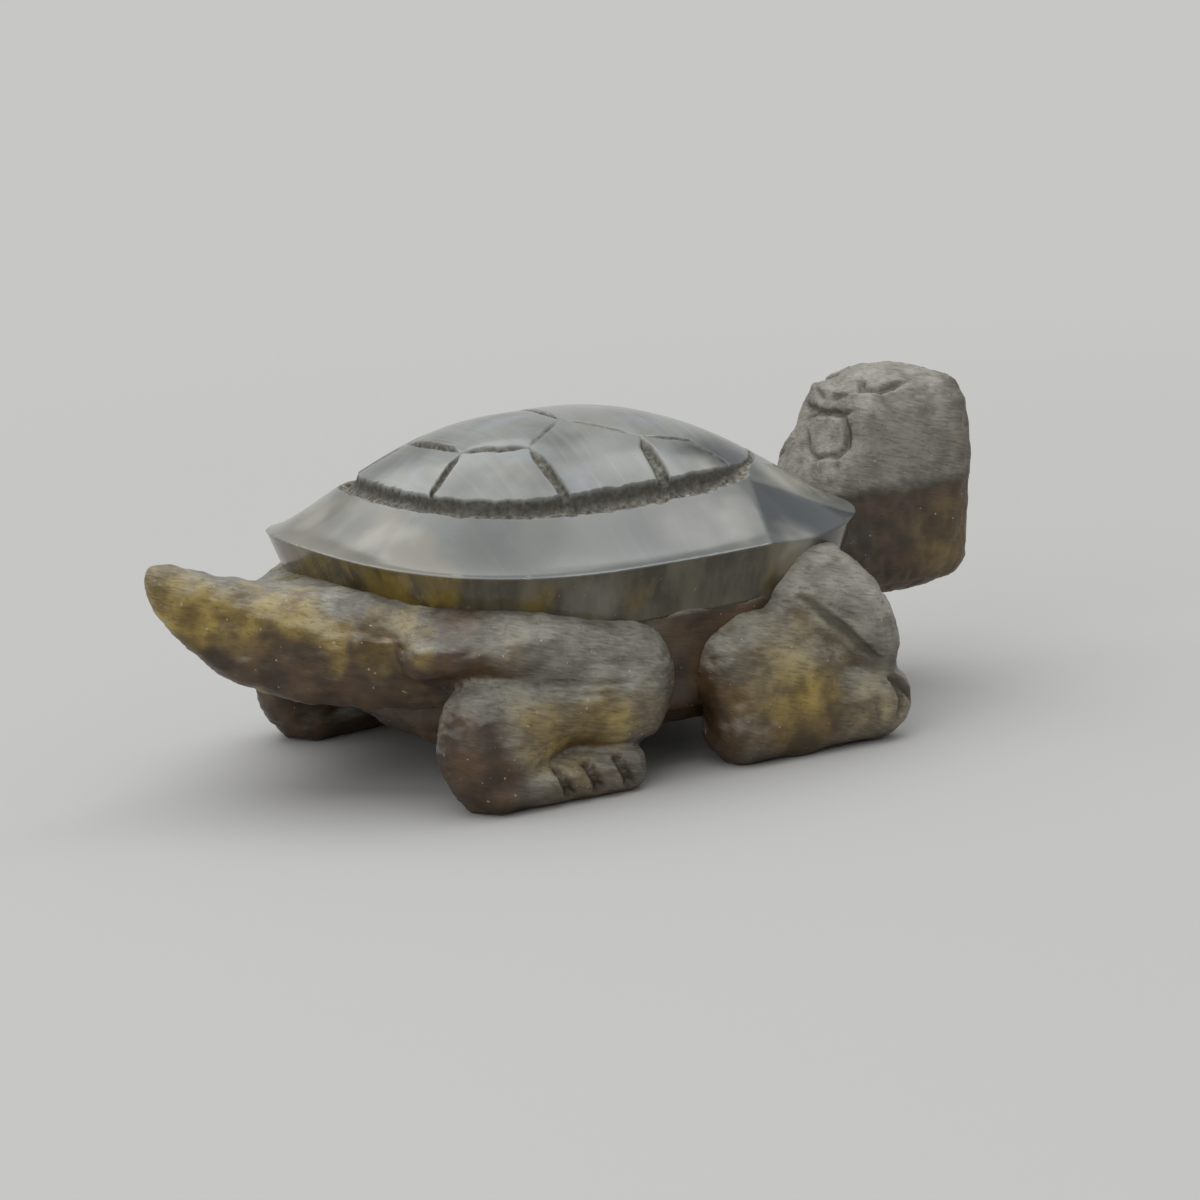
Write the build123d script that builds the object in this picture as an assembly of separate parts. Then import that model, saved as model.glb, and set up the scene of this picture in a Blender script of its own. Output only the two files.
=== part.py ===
from build123d import *
import os
from math import cos, pi, sin

# A turtle carved from one block of stone. It is modelled about the shell's crest: +X points to the
# head, +Y to the turtle's left, +Z up, with the soles on z = 0. At the end every zone is moved so that
# the origin is the centre of the whole figure's footprint.

# Shell, seen from above: a rounded oblong that is longer in front of the crest than behind it
shell_front = 28.5
shell_rear = 22.7
shell_half_width = 21.1
shell_roundness_share = 3.0
shell_outline_points = 32

# Shell, seen from the side: a sharp rim that rises towards both ends, and a dome above it
rim_height = 19.65
rim_front_rise = 0.2
rim_rear_rise = 1.75
dome_height = 10.9
dome_flatness_share = 2.23
dome_front_fullness_share = 0.5
dome_edge_share = 1.43
shell_seat_height = 14.4
skirt_slope_share = 0.34
dome_grid_points = 19

# Carved lines on the shell
groove_ring_share = 0.684
groove_side_width = 1.9
groove_end_width = 0.8
groove_depth = 0.85
seam_width = 0.75
seam_depth = 0.55
seam_tip_overrun = 0.6

# Trunk and belly plate
trunk_base_height = 5.4
trunk_base_inset = 1.9
belly_height = 3.3
belly_inset = 2.2
belly_edge_bevel = 0.9

# Neck and head
neck_depth_under_shell = 4.5
head_reach = 16.7
head_half_width = 6.6
jaw_height = 17.0
crown_height = 30.3
throat_height = 8.8

# Tail and rump, whose walls meet the long axis at 45 degrees
tail_reach = 38.6
tail_top_height = 22.2
rump_half_width = 21.9
rump_shoulder_rounding = 3.2
hip_border = -3.5

# Rear leg: thigh, shin and foot are folded over each other like a Z
thigh_half_width = 4.2
thigh_half_height = 4.2
knee_half_length = 5.8
knee_half_width = 4.0
knee_half_height = 6.0
shin_half_width = 4.0
shin_half_height = 4.2
heel_half_length = 5.2
heel_half_width = 4.2
heel_half_height = 5.8
rear_foot_half_width = 4.1
rear_foot_half_height = 2.9
rear_toe_count = 4
rear_toe_pitch = 3.0
rear_toe_setback = 0.9
rear_toe_splay = 14.0

# Front leg: upper arm, forearm and foot, whose toes are a little raised
arm_half_width = 4.2
arm_half_height = 4.2
forearm_half_length = 8.4
forearm_half_width = 4.5
forearm_half_height = 5.7
forearm_slope = 29.0
front_foot_half_width = 4.4
front_foot_half_height = 3.5
front_toe_count = 4
front_toe_pitch = 2.2
front_toe_reach = 6.5
front_toe_splay = 12.0

# Grooves between the toes
toe_groove_width = 0.8
toe_groove_depth = 1.1

# One overrun serves every cut
overrun = 2.0


# Stations along the left limbs: place as shares of the shell's half lengths, its half width and its seat
# height, then half width and half height as shares of the limb's own
thigh_stations = (
    (-0.837, 0.673, 0.972, 0.98, 0.66),
    (-0.595, 0.815, 0.958, 1.02, 0.68),
    (-0.330, 0.853, 0.875, 0.95, 0.93),
    (-0.150, 0.858, 0.750, 0.93, 1.02),
)
shin_stations = (
    (-0.150, 0.877, 0.576, 0.97, 0.95),
    (-0.441, 0.882, 0.583, 1.00, 1.00),
    (-0.678, 0.867, 0.486, 1.00, 1.10),
)
rear_foot_stations = (
    (-0.696, 0.867, 0.153, 0.95, 1.00),
    (-0.441, 0.877, 0.139, 1.00, 0.86),
    (-0.176, 0.882, 0.139, 0.83, 0.83),
)
arm_stations = (
    (0.509, 0.664, 1.139, 1.00, 1.05),
    (0.653, 0.777, 1.028, 1.00, 1.02),
    (0.758, 0.844, 0.806, 0.98, 0.90),
    (0.818, 0.867, 0.604, 0.88, 0.66),
)
front_foot_stations = (
    (0.368, 0.853, 0.195, 0.93, 0.95),
    (0.579, 0.872, 0.208, 1.00, 1.00),
    (0.814, 0.877, 0.222, 0.98, 0.90),
)
knee_place_shares = (-0.137, 0.867, 0.646)
heel_place_shares = (-0.670, 0.867, 0.375)
forearm_place_shares = (0.477, 0.848, 0.465)
rear_toe_row_place_shares = (-0.026, 0.938, 0.139)
front_toe_row_place_shares = (0.930, 0.877, 0.229)

# Every limb has sections of this many sides, and rounded ends: places past the end as shares of the
# smaller half size, and the size that is left there
section_sides = 12
section_growth_share = 1.015
rounded_end = ((0.985, 0.17), (0.85, 0.53), (0.50, 0.87))

# Each chisel stroke on the shell narrows to a point over this share of its length
seam_taper_share = 0.16


# Shared curves

def power_curve(value, exponent):
    """Raise a signed value to a power and keep its sign."""
    return abs(value) ** exponent * (1 if value >= 0 else -1)


def oblong(front, rear, half_width, height):
    """Face of the shell's rounded oblong, a superellipse, at a height."""
    points = []
    for i in range(shell_outline_points):
        turn = 2 * pi * i / shell_outline_points
        along = power_curve(cos(turn), 2 / shell_roundness_share)
        across = power_curve(sin(turn), 2 / shell_roundness_share)
        points.append((along * (front if along >= 0 else rear), across * half_width, height))
    return Face(Wire([Edge.make_spline([Vector(*p) for p in points], periodic=True)]))


def oblong_column(front, rear, half_width, low, high):
    """Upright column on the rounded oblong between two heights."""
    return extrude(oblong(front, rear, half_width, low), high - low, dir=(0, 0, 1))


def rim_z(x):
    """Height of the sharp rim at a place along the shell."""
    if x >= 0:
        return rim_height + rim_front_rise * (x / shell_front) ** 2
    return rim_height + rim_rear_rise * (x / shell_rear) ** 2


def shell_z(x, y):
    """Height of the shell's top: the rim plus a dome that falls to nothing at the outline and is a
    little fuller towards the head."""
    length = shell_front if x >= 0 else shell_rear
    n = shell_roundness_share
    radius = (abs(x / length) ** n + abs(y / shell_half_width) ** n) ** (1 / n)
    ahead = (max(x, 0) / shell_front) ** 2
    beside = (y / shell_half_width) ** 2
    fullness = dome_flatness_share + dome_front_fullness_share * ahead / (ahead + beside + 0.001)
    return rim_z(x) + dome_height * power_curve(1 - radius ** fullness, dome_edge_share)


def under_shell_top(lowered):
    """Block under the shell's top surface, which can be lowered by the depth of a cut."""
    x_low = -shell_rear - overrun
    x_high = shell_front + overrun
    y_high = shell_half_width + overrun
    last = dome_grid_points - 1
    rows = []
    for i in range(dome_grid_points):
        x = x_low + (x_high - x_low) * i / last
        row = []
        for j in range(dome_grid_points):
            y = y_high * (2 * j / last - 1)
            row.append(Vector(x, y, shell_z(x, y) - lowered))
        rows.append(row)
    top = Face.make_surface_from_array_of_points(rows)
    return extrude(top, rim_height + dome_height, dir=(0, 0, -1))


# Shell

def skirt_cone():
    """Tapered block whose wall passes through the rim: the skirt below it leans inwards."""
    low = shell_seat_height
    high = rim_height + dome_height + overrun
    faces = []
    for z in (low, high):
        front = shell_front + (z - rim_height - rim_front_rise) * skirt_slope_share
        rear = shell_rear + (z - rim_height - rim_rear_rise) * skirt_slope_share
        half_width = shell_half_width + (z - rim_height) * skirt_slope_share
        faces.append(oblong(front, rear, half_width, z))
    return loft(faces, ruled=True)


def ring_outline_column(grow_sides, grow_ends):
    """Column on the main groove's outline, made wider or narrower at the sides and ends."""
    return oblong_column(
        shell_front * groove_ring_share + grow_ends,
        shell_rear * groove_ring_share + grow_ends,
        shell_half_width * groove_ring_share + grow_sides,
        shell_seat_height - overrun,
        rim_height + dome_height + overrun,
    )


def main_groove():
    """Gouge between dome and rim, wide at the sides and narrow at the ends."""
    outer = ring_outline_column(groove_side_width / 2, groove_end_width / 2)
    inner = ring_outline_column(-groove_side_width / 2, -groove_end_width / 2)
    return outer - inner - under_shell_top(groove_depth)


# Corners of the scutes, as shares of the shell's half lengths and half width
seam_corner_share = {
    "rear": (-0.405, 0.19),
    "rear_side": (-0.19, 0.36),
    "crest": (0.035, 0.18),
    "front_side": (0.23, 0.40),
    "rear_ring": (-0.64, 0.35),
    "side_ring_rear": (-0.175, 0.70),
    "side_ring_front": (0.205, 0.71),
    "front_ring": (0.505, 0.62),
}
seam_pairs = [
    ("rear", "rear_side"), ("rear_side", "crest"), ("crest", "front_side"),
    ("rear", "rear_ring"), ("rear_side", "side_ring_rear"),
    ("front_side", "side_ring_front"), ("front_side", "front_ring"),
]
cross_seams = ["rear", "crest"]


def corner(name, side):
    """Place of a scute corner on the left (1) or right (-1) side."""
    along, across = seam_corner_share[name]
    return Vector(along * (shell_front if along >= 0 else shell_rear), side * across * shell_half_width)


def chisel_stroke(start, end):
    """Slender lozenge seen from above, whose tips run past two corners so that strokes cross there."""
    along = end - start
    beyond = along.normalized() * seam_tip_overrun
    across = along.normalized().rotate(Axis.Z, 90) * (seam_width / 2)
    near = start + along * seam_taper_share
    far = end - along * seam_taper_share
    points = [start - beyond, near + across, far + across, end + beyond, far - across, near - across]
    return Face(Wire.make_polygon(points, close=True))


def scute_seams():
    """All chisel strokes, cut to an even depth below the shell's top."""
    strokes = [chisel_stroke(corner(name, 1), corner(name, -1)) for name in cross_seams]
    for side in (1, -1):
        strokes += [chisel_stroke(corner(a, side), corner(b, side)) for a, b in seam_pairs]
    columns = [extrude(s, rim_height + dome_height + overrun, dir=(0, 0, 1)) for s in strokes]
    return Part() + columns - under_shell_top(seam_depth)


def make_plain_shell():
    """Whole shell before any line is carved into it."""
    return skirt_cone() & under_shell_top(0)


def carve_shell(plain_shell):
    """Dome inside the main groove and rim outside it."""
    shell = plain_shell - main_groove() - scute_seams()
    inside = ring_outline_column(0, 0)
    return shell & inside, shell - inside


# Trunk and belly

def body_face(height, inset):
    """Outline of the skirt's lower edge at a height, drawn in by an inset."""
    front = shell_front - (rim_height + rim_front_rise - shell_seat_height) * skirt_slope_share
    rear = shell_rear - (rim_height + rim_rear_rise - shell_seat_height) * skirt_slope_share
    half_width = shell_half_width - (rim_height - shell_seat_height) * skirt_slope_share
    return oblong(front - inset, rear - inset, half_width - inset, height)


def make_trunk():
    """Side wall from the shell's underside down to the belly plate."""
    top = body_face(shell_seat_height, 0)
    base = body_face(trunk_base_height, trunk_base_inset)
    return loft([base, top], ruled=True)


def make_plastron():
    """Flat belly plate with a bevelled lower edge."""
    face = body_face(trunk_base_height, trunk_base_inset + belly_inset)
    plate = extrude(face, trunk_base_height - belly_height, dir=(0, 0, -1))
    return chamfer(plate.edges().group_by(Axis.Z)[0], belly_edge_bevel)


# Limbs

def limb_place(along, across, up):
    """Place on a left limb from its shares of the shell."""
    length = shell_front if along >= 0 else shell_rear
    return Vector(along * length, across * shell_half_width, up * shell_seat_height)


def section(centre, direction, half_width, half_height):
    """Many-sided oval across a limb, with a level side at its top."""
    sideways = direction.cross(Vector(0, 0, 1)).normalized()
    plane = Plane(origin=centre, x_dir=sideways, z_dir=direction.normalized())
    points = []
    for i in range(section_sides):
        turn = 2 * pi * (i + 0.5) / section_sides
        points.append(plane.from_local_coords(Vector(
            section_growth_share * half_width * cos(turn),
            section_growth_share * half_height * sin(turn),
        )))
    return Face(Wire.make_polygon(points, close=True))


def limb(stations, half_width, half_height, thinner=0.0):
    """Limb through its stations with rounded ends; it can be made thinner all round."""
    places = [limb_place(*station[:3]) for station in stations]
    wides = [station[3] * half_width - thinner for station in stations]
    talls = [station[4] * half_height - thinner for station in stations]
    first = places[1] - places[0]
    last = places[-1] - places[-2]
    faces = []
    for beyond, left in rounded_end:
        centre = places[0] - first.normalized() * (min(wides[0], talls[0]) * beyond)
        faces.append(section(centre, first, wides[0] * left, talls[0] * left))
    for i, place in enumerate(places):
        before = places[max(i - 1, 0)]
        after = places[min(i + 1, len(places) - 1)]
        faces.append(section(place, after - before, wides[i], talls[i]))
    for beyond, left in reversed(rounded_end):
        centre = places[-1] + last.normalized() * (min(wides[-1], talls[-1]) * beyond)
        faces.append(section(centre, last, wides[-1] * left, talls[-1] * left))
    return loft(faces, ruled=True)


def swelling(centre, half_length, half_width, half_height, slope=0.0):
    """Egg-shaped swelling, whose long axis may slope down towards the head."""
    direction = Vector(1, 0, 0).rotate(Axis.Y, slope)
    faces = []
    for beyond, left in rounded_end:
        faces.append(section(centre - direction * (half_length * beyond), direction,
                             half_width * left, half_height * left))
    faces.append(section(centre, direction, half_width, half_height))
    for beyond, left in reversed(rounded_end):
        faces.append(section(centre + direction * (half_length * beyond), direction,
                             half_width * left, half_height * left))
    return loft(faces, ruled=True)


def above_ground(part):
    """Cut a foot's sole flat at the surface that the figure stands on."""
    box = part.bounding_box()
    ground = Box(box.size.X + overrun, box.size.Y + overrun, overrun + box.size.Z,
                 align=(Align.CENTER, Align.CENTER, Align.MAX))
    return part - Pos(box.center().X, box.center().Y, 0) * ground


def carved_foot(stations, half_width, half_height, slits):
    """Foot with grooves between its toes: the slits stop at a thinner core inside the foot."""
    foot = limb(stations, half_width, half_height)
    core = limb(stations, half_width, half_height, thinner=toe_groove_depth)
    return (foot - slits) + core


def rear_slits(toe):
    """Slits between the rear toes, which stand in a row along the foot's outer front edge."""
    slits = []
    reach = rear_foot_half_width + overrun
    for i in range(1, rear_toe_count):
        slit = Box(toe_groove_width, reach, 2 * rear_foot_half_height + overrun * 2,
                   align=(Align.CENTER, Align.MIN, Align.CENTER))
        x = toe.X - rear_toe_setback - rear_toe_pitch * i
        slits.append(Pos(x, toe.Y, toe.Z) * Rot(0, 0, -rear_toe_splay) * slit)
    return slits


def hip_block():
    """Block that holds the left rear leg's share of the rump, in front of a border square to its wall."""
    reach = shell_front + shell_rear
    block = Box(reach, reach, 2 * tail_top_height, align=(Align.MIN, Align.MIN, Align.CENTER))
    return Rot(0, 0, 45) * Pos(hip_border, head_half_width, 0) * block


def rear_leg(rump):
    """Left rear leg: thigh forward to the knee, shin back to the heel, foot forward."""
    thigh = limb(thigh_stations, thigh_half_width, thigh_half_height)
    shin = limb(shin_stations, shin_half_width, shin_half_height)
    knee = swelling(limb_place(*knee_place_shares), knee_half_length, knee_half_width, knee_half_height)
    heel = swelling(limb_place(*heel_place_shares), heel_half_length, heel_half_width, heel_half_height)
    slits = rear_slits(limb_place(*rear_toe_row_place_shares))
    foot = carved_foot(rear_foot_stations, rear_foot_half_width, rear_foot_half_height, slits)
    return above_ground((rump & hip_block()) + [thigh, shin, foot, knee, heel])


def front_slits(toe):
    """Slits between the front toes, fanned across the front of the foot."""
    slits = []
    for i in range(1, front_toe_count):
        from_middle = i - front_toe_count / 2
        slit = Box(front_toe_reach, toe_groove_width, 2 * front_foot_half_height + overrun * 2,
                   align=(Align.MIN, Align.CENTER, Align.CENTER))
        start = Pos(toe.X - front_toe_reach + overrun, toe.Y + front_toe_pitch * from_middle, toe.Z)
        slits.append(start * Rot(0, 0, front_toe_splay * from_middle) * slit)
    return slits


def front_leg():
    """Left front leg: arm down to the elbow, a broad forearm under it, foot forward."""
    arm = limb(arm_stations, arm_half_width, arm_half_height)
    forearm = swelling(limb_place(*forearm_place_shares), forearm_half_length, forearm_half_width,
                       forearm_half_height, forearm_slope)
    slits = front_slits(limb_place(*front_toe_row_place_shares))
    foot = carved_foot(front_foot_stations, front_foot_half_width, front_foot_half_height, slits)
    return above_ground(arm + [forearm, foot])


# Tail and rump

# Sections from the tail's tip to the thigh: place as a share of the tail's reach, half width at the
# shoulder as a share of the rump's, and the heights of shoulder, top and underside as shares of the tip's
rump_stations = (
    (1.000, 0.018, 0.946, 0.991, 0.901),
    (0.982, 0.064, 0.928, 1.000, 0.820),
    (0.933, 0.100, 0.896, 0.995, 0.694),
    (0.881, 0.132, 0.856, 0.964, 0.595),
    (0.829, 0.178, 0.820, 0.928, 0.518),
    (0.751, 0.297, 0.748, 0.883, 0.432),
    (0.674, 0.429, 0.694, 0.858, 0.396),
    (0.570, 0.612, 0.676, 0.833, 0.383),
    (0.466, 0.795, 0.676, 0.820, 0.378),
    (0.363, 0.954, 0.667, 0.788, 0.374),
    (0.272, 1.000, 0.649, 0.766, 0.369),
    (0.181, 1.000, 0.631, 0.743, 0.369),
)
# Corners of a section's rounded edge: how far in from its wall and down from its crown, as shares of the
# rounding
rump_edge_shares = (
    (0.75, 0.20),
    (0.25, 0.36),
    (0.00, 0.78),
)


def rump_section(place, wide, shoulder, top, under):
    """Section of rump or tail: a rounded shoulder over an upright wall and a rounded underside."""
    x = -place * tail_reach
    half = wide * rump_half_width
    low = under * tail_top_height
    high = top * tail_top_height
    turn = min(rump_shoulder_rounding, 0.75 * half, 0.45 * (high - low))
    upper = [(half * 0.97 - inward * turn, high - down * turn) for inward, down in rump_edge_shares]
    lower = [(half * 0.97 - inward * turn * 0.9, low + down * turn * 0.9)
             for inward, down in reversed(rump_edge_shares)]
    middle = [(half, shoulder * tail_top_height)]
    right = upper + middle + lower
    points = [(0, high)] + right + [(0, low)] + [(-y, z) for y, z in reversed(right)]
    return Face(Wire.make_polygon([Vector(x, y, z) for y, z in points], close=True))


def make_rump():
    """Tail, rump and the upper part of both thighs in one."""
    return loft([rump_section(*station) for station in rump_stations], ruled=True)


# Neck and head: level slices with rounded corners, stacked and blended. Each station gives the height,
# the back, the front and the half width as shares, and the corner radius as a share of the half width.
throat_station_share = (
    (0.000, 0.259, 0.792, 0.394, 0.60),
    (0.160, 0.047, 0.920, 0.636, 0.55),
    (0.345, 0.000, 0.985, 0.773, 0.50),
    (0.695, 0.047, 0.995, 0.864, 0.50),
    (1.000, 0.101, 0.999, 0.918, 0.50),
)
head_station_share = (
    (0.000, 0.101, 0.999, 0.918, 0.50),
    (0.248, 0.170, 1.000, 1.000, 0.50),
    (0.526, 0.264, 0.995, 1.000, 0.50),
    (0.737, 0.373, 0.986, 0.939, 0.55),
    (0.872, 0.434, 0.925, 0.788, 0.60),
    (0.955, 0.514, 0.830, 0.545, 0.70),
    (1.000, 0.604, 0.755, 0.273, 0.80),
)


def stacked_slices(stations, low, high):
    """Stack of level rounded rectangles, joined by straight walls."""
    back = shell_front - neck_depth_under_shell
    front = shell_front + head_reach
    faces = []
    for height, rear, fore, wide, rounding in stations:
        x_rear = back + (front - back) * rear
        x_fore = back + (front - back) * fore
        across = head_half_width * wide
        plane = Plane(origin=((x_rear + x_fore) / 2, 0, low + (high - low) * height))
        radius = min(across, (x_fore - x_rear) / 2) * rounding
        faces.append(plane * RectangleRounded(x_fore - x_rear, 2 * across, radius))
    return loft(faces, ruled=True)


def make_head():
    """Blunt head above the jaw line, with a domed crown and a sloping nape."""
    return stacked_slices(head_station_share, jaw_height, crown_height)


def make_neck():
    """Thick neck and throat that carry the head at the jaw line."""
    return stacked_slices(throat_station_share, throat_height, jaw_height)


# Assembly of the zones: each later zone is cut back to the faces of the earlier ones

def mirrored(part):
    """The same part on the turtle's right side."""
    return part.mirror(Plane.XZ)


def make_zones():
    """All zones by name, face to face and in the frame of the crest."""
    plain_shell = make_plain_shell()
    dome, rim = carve_shell(plain_shell)
    trunk = make_trunk()
    plastron = make_plastron()
    body = [skirt_cone(), trunk, plastron]
    rump = make_rump()
    tail = rump - [hip_block(), mirrored(hip_block())] - body
    neck = make_neck() - body
    head = make_head() - plain_shell
    rear = rear_leg(rump) - body - tail
    front = front_leg() - body - neck
    return {
        "carapace_dome": dome,
        "marginal_rim": rim,
        "trunk": trunk,
        "plastron": plastron,
        "neck": neck,
        "head": head,
        "tail": tail,
        "rear_left_leg": rear,
        "rear_right_leg": mirrored(rear),
        "front_left_leg": front,
        "front_right_leg": mirrored(front),
    }


def main():
    """Build the zones, move them to the footprint's centre and write one file for each."""
    zones = make_zones()
    lows = [zone.bounding_box().min for zone in zones.values()]
    highs = [zone.bounding_box().max for zone in zones.values()]
    middle_x = (min(p.X for p in lows) + max(p.X for p in highs)) / 2
    os.makedirs("parts", exist_ok=True)
    for name, zone in zones.items():
        placed = Pos(-middle_x, 0, 0) * zone
        export_step(placed, "parts/" + name + ".step")
        box = placed.bounding_box()
        print(name, "solids", len(placed.solids()), "volume", round(placed.volume, 1),
              "low", [round(c, 2) for c in box.min], "high", [round(c, 2) for c in box.max])


main()
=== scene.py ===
import bpy
import numpy as np
from bpy.props import FloatProperty, FloatVectorProperty, IntProperty, PointerProperty
from mathutils import Matrix, Vector


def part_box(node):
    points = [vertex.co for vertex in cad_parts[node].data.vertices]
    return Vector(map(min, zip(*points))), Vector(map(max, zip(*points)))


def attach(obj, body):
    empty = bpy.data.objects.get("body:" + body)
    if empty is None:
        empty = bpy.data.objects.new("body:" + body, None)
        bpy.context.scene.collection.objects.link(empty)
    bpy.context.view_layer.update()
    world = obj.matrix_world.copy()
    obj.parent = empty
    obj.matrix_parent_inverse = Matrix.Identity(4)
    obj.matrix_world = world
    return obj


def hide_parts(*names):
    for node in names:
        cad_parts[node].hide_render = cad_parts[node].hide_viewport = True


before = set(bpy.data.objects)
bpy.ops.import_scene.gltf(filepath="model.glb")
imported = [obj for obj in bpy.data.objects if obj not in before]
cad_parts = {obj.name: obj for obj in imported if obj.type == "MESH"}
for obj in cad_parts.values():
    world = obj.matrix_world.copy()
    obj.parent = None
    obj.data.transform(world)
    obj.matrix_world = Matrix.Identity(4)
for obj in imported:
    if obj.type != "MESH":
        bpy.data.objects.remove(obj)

bl_info = {
    "name": "Carved stone turtle",
    "version": (1, 0, 0),
    "blender": (4, 5, 0),
    "location": "View3D > Sidebar > Turtle",
    "description": "A turtle carved from one block of labradorite, zone by zone, with its stage",
    "category": "Object",
}

# The figure is worked out in millimetres about the crest of its shell: x points to the head, y to the
# turtle's left and z up. The frame's origin lies behind the crest, so finished meshes are moved there.
MM = 0.001
SHELL_FRONT_SHARE = 0.5566
RIM_LOW, RIM_HIGH = (np.array(corner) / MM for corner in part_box("marginal_rim"))
DOME_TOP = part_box("carapace_dome")[1].z / MM
SHELL_FRONT = (RIM_HIGH[0] - RIM_LOW[0]) * SHELL_FRONT_SHARE
SHELL_REAR = (RIM_HIGH[0] - RIM_LOW[0]) - SHELL_FRONT
SHELL_HALF_WIDTH = (RIM_HIGH[1] - RIM_LOW[1]) / 2
SEAT = RIM_LOW[2]
CREST = np.array([RIM_HIGH[0] - SHELL_FRONT, 0.0, 0.0])


# Sizes and colours that a user would change

class ShellSizes(bpy.types.PropertyGroup):
    rim_height: FloatProperty(name="Rim height", default=0.01965, unit="LENGTH",
                              description="Height of the sharp rim beside the crest")
    front_rise: FloatProperty(name="Front rise", default=0.0002, unit="LENGTH",
                              description="How much the rim rises towards the head")
    rear_rise: FloatProperty(name="Rear rise", default=0.00175, unit="LENGTH",
                             description="How much the rim rises towards the tail")
    groove_width: FloatProperty(name="Groove width", default=0.0021, unit="LENGTH",
                                description="Width of the main groove at the sides")
    groove_depth: FloatProperty(name="Groove depth", default=0.00095, unit="LENGTH",
                                description="Depth of the main groove at the sides")
    seam_width: FloatProperty(name="Seam width", default=0.0011, unit="LENGTH",
                              description="Width of a scute seam at its middle")
    seam_depth: FloatProperty(name="Seam depth", default=0.0006, unit="LENGTH",
                              description="Depth of a scute seam at its middle")
    facet_slope: FloatProperty(name="Facet slope", default=0.10, min=0.0, max=0.3,
                               description="Slope of the flat at each front corner of the rim")
    rows: IntProperty(name="Rows", default=300, min=60, max=320,
                      description="Rows of the dome's grid each way")


class StoneSizes(bpy.types.PropertyGroup):
    coarse_step: FloatProperty(name="Coarse step", default=0.00056, unit="LENGTH",
                               description="Spacing of the grid that finds a carved zone's shape")
    mark_depth: FloatProperty(name="Tool mark depth", default=0.00011, unit="LENGTH",
                              description="Depth of the marks that the cutting wheel left")


class StoneColours(bpy.types.PropertyGroup):
    polished_grey: FloatVectorProperty(name="Polished grey", subtype="COLOR_GAMMA",
                                       default=(0.50, 0.512, 0.497),
                                       description="Body colour of the polished shell")
    # the grey stands for dust on the carved faces together with painted light from above
    dusty_and_lit_grey: FloatVectorProperty(name="Dusty grey", subtype="COLOR_GAMMA",
                                    default=(0.53, 0.523, 0.483),
                                    description="Colour of the carved stone's dusty faces")
    deep_brown: FloatVectorProperty(name="Deep brown", subtype="COLOR_GAMMA",
                                    default=(0.262, 0.193, 0.115),
                                    description="Colour of the carved stone's walls")


# Noise and soft joins

def lattice_noise(points, seed):
    """Smooth noise from -1 to 1: a random value on each corner of unit cubes, blended by a smooth ramp."""
    base = np.floor(points)
    part = points - base
    ramp = part * part * (3 - 2 * part)
    base = base.astype(np.int64)
    total = np.zeros(len(points))
    for corner in range(8):
        step = np.array([corner & 1, corner >> 1 & 1, corner >> 2 & 1])
        cell = base + step
        mixed = (cell[:, 0] * 73856093) ^ (cell[:, 1] * 19349663) ^ (cell[:, 2] * 83492791) ^ (seed * 7919)
        mixed = ((mixed ^ (mixed >> 13)) * 1274126177) & 0xFFFFFFFF
        value = ((mixed ^ (mixed >> 15)) & 0xFFFF) / 32767.5 - 1
        total += value * np.prod(np.where(step, ramp, 1 - ramp), axis=1)
    return total


def layered_noise(points, octaves, seed):
    """Sum of noises, each half as strong and twice as fine as the one before."""
    total = np.zeros(len(points))
    for octave in range(octaves):
        total += lattice_noise(points * 2.0 ** octave, seed + octave) * 0.5 ** octave
    return total


def soft_min(a, b, reach):
    """The lower of two fields, joined by a fillet over the reach."""
    mix = np.clip(0.5 + 0.5 * (b - a) / reach, 0, 1)
    return b + (a - b) * mix - reach * mix * (1 - mix)


def soft_max(a, b, reach):
    """The higher of two fields, joined by a rounded edge over the reach."""
    return -soft_min(-a, -b, reach)


def smooth_ramp(value, low, high):
    """Ramp from 0 to 1 between two values, level at both ends."""
    t = np.clip((value - low) / (high - low), 0, 1)
    return t * t * (3 - 2 * t)


def sink(distance):
    """How far a zone dives under its neighbour beyond their border, so that neither shows an edge."""
    return np.maximum(distance, 0) ** 2


# Fields: each is about the distance to a surface in millimetres, negative inside

LIMB_SPANS = 14


def limb_field(points, stations):
    """Limb of elliptical section along a curve through its stations of place, half width and half height."""
    stations = np.array(stations, float)
    count = len(stations)
    spots = np.linspace(0, count - 1, LIMB_SPANS + 1)
    padded = np.vstack([2 * stations[0] - stations[1], stations, 2 * stations[-1] - stations[-2]])
    i = np.minimum(spots.astype(int), count - 2)
    t = (spots - i)[:, None]
    p0, p1, p2, p3 = padded[i], padded[i + 1], padded[i + 2], padded[i + 3]
    curve = 0.5 * (2 * p1 + (p2 - p0) * t + (2 * p0 - 5 * p1 + 4 * p2 - p3) * t ** 2
                   + (3 * p1 - p0 - 3 * p2 + p3) * t ** 3)
    curve[:, 3:] = np.maximum(curve[:, 3:], 0.3)
    best = np.full(len(points), 1e3)
    for a, b in zip(curve[:-1], curve[1:]):
        run = b[:3] - a[:3]
        length = np.linalg.norm(run)
        along = run / length
        side = np.cross(along, (0, 0, 1))
        side /= np.linalg.norm(side)
        over = np.cross(side, along)
        offset = points - a[:3]
        t = np.clip(offset @ along / length, 0, 1)
        wide = a[3] + (b[3] - a[3]) * t
        tall = a[4] + (b[4] - a[4]) * t
        beyond = offset @ along - t * length
        small = np.minimum(wide, tall)
        k = np.sqrt((offset @ side / wide) ** 2 + (offset @ over / tall) ** 2 + (beyond / small) ** 2)
        best = np.minimum(best, (k - 1) * small)
    return best


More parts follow.
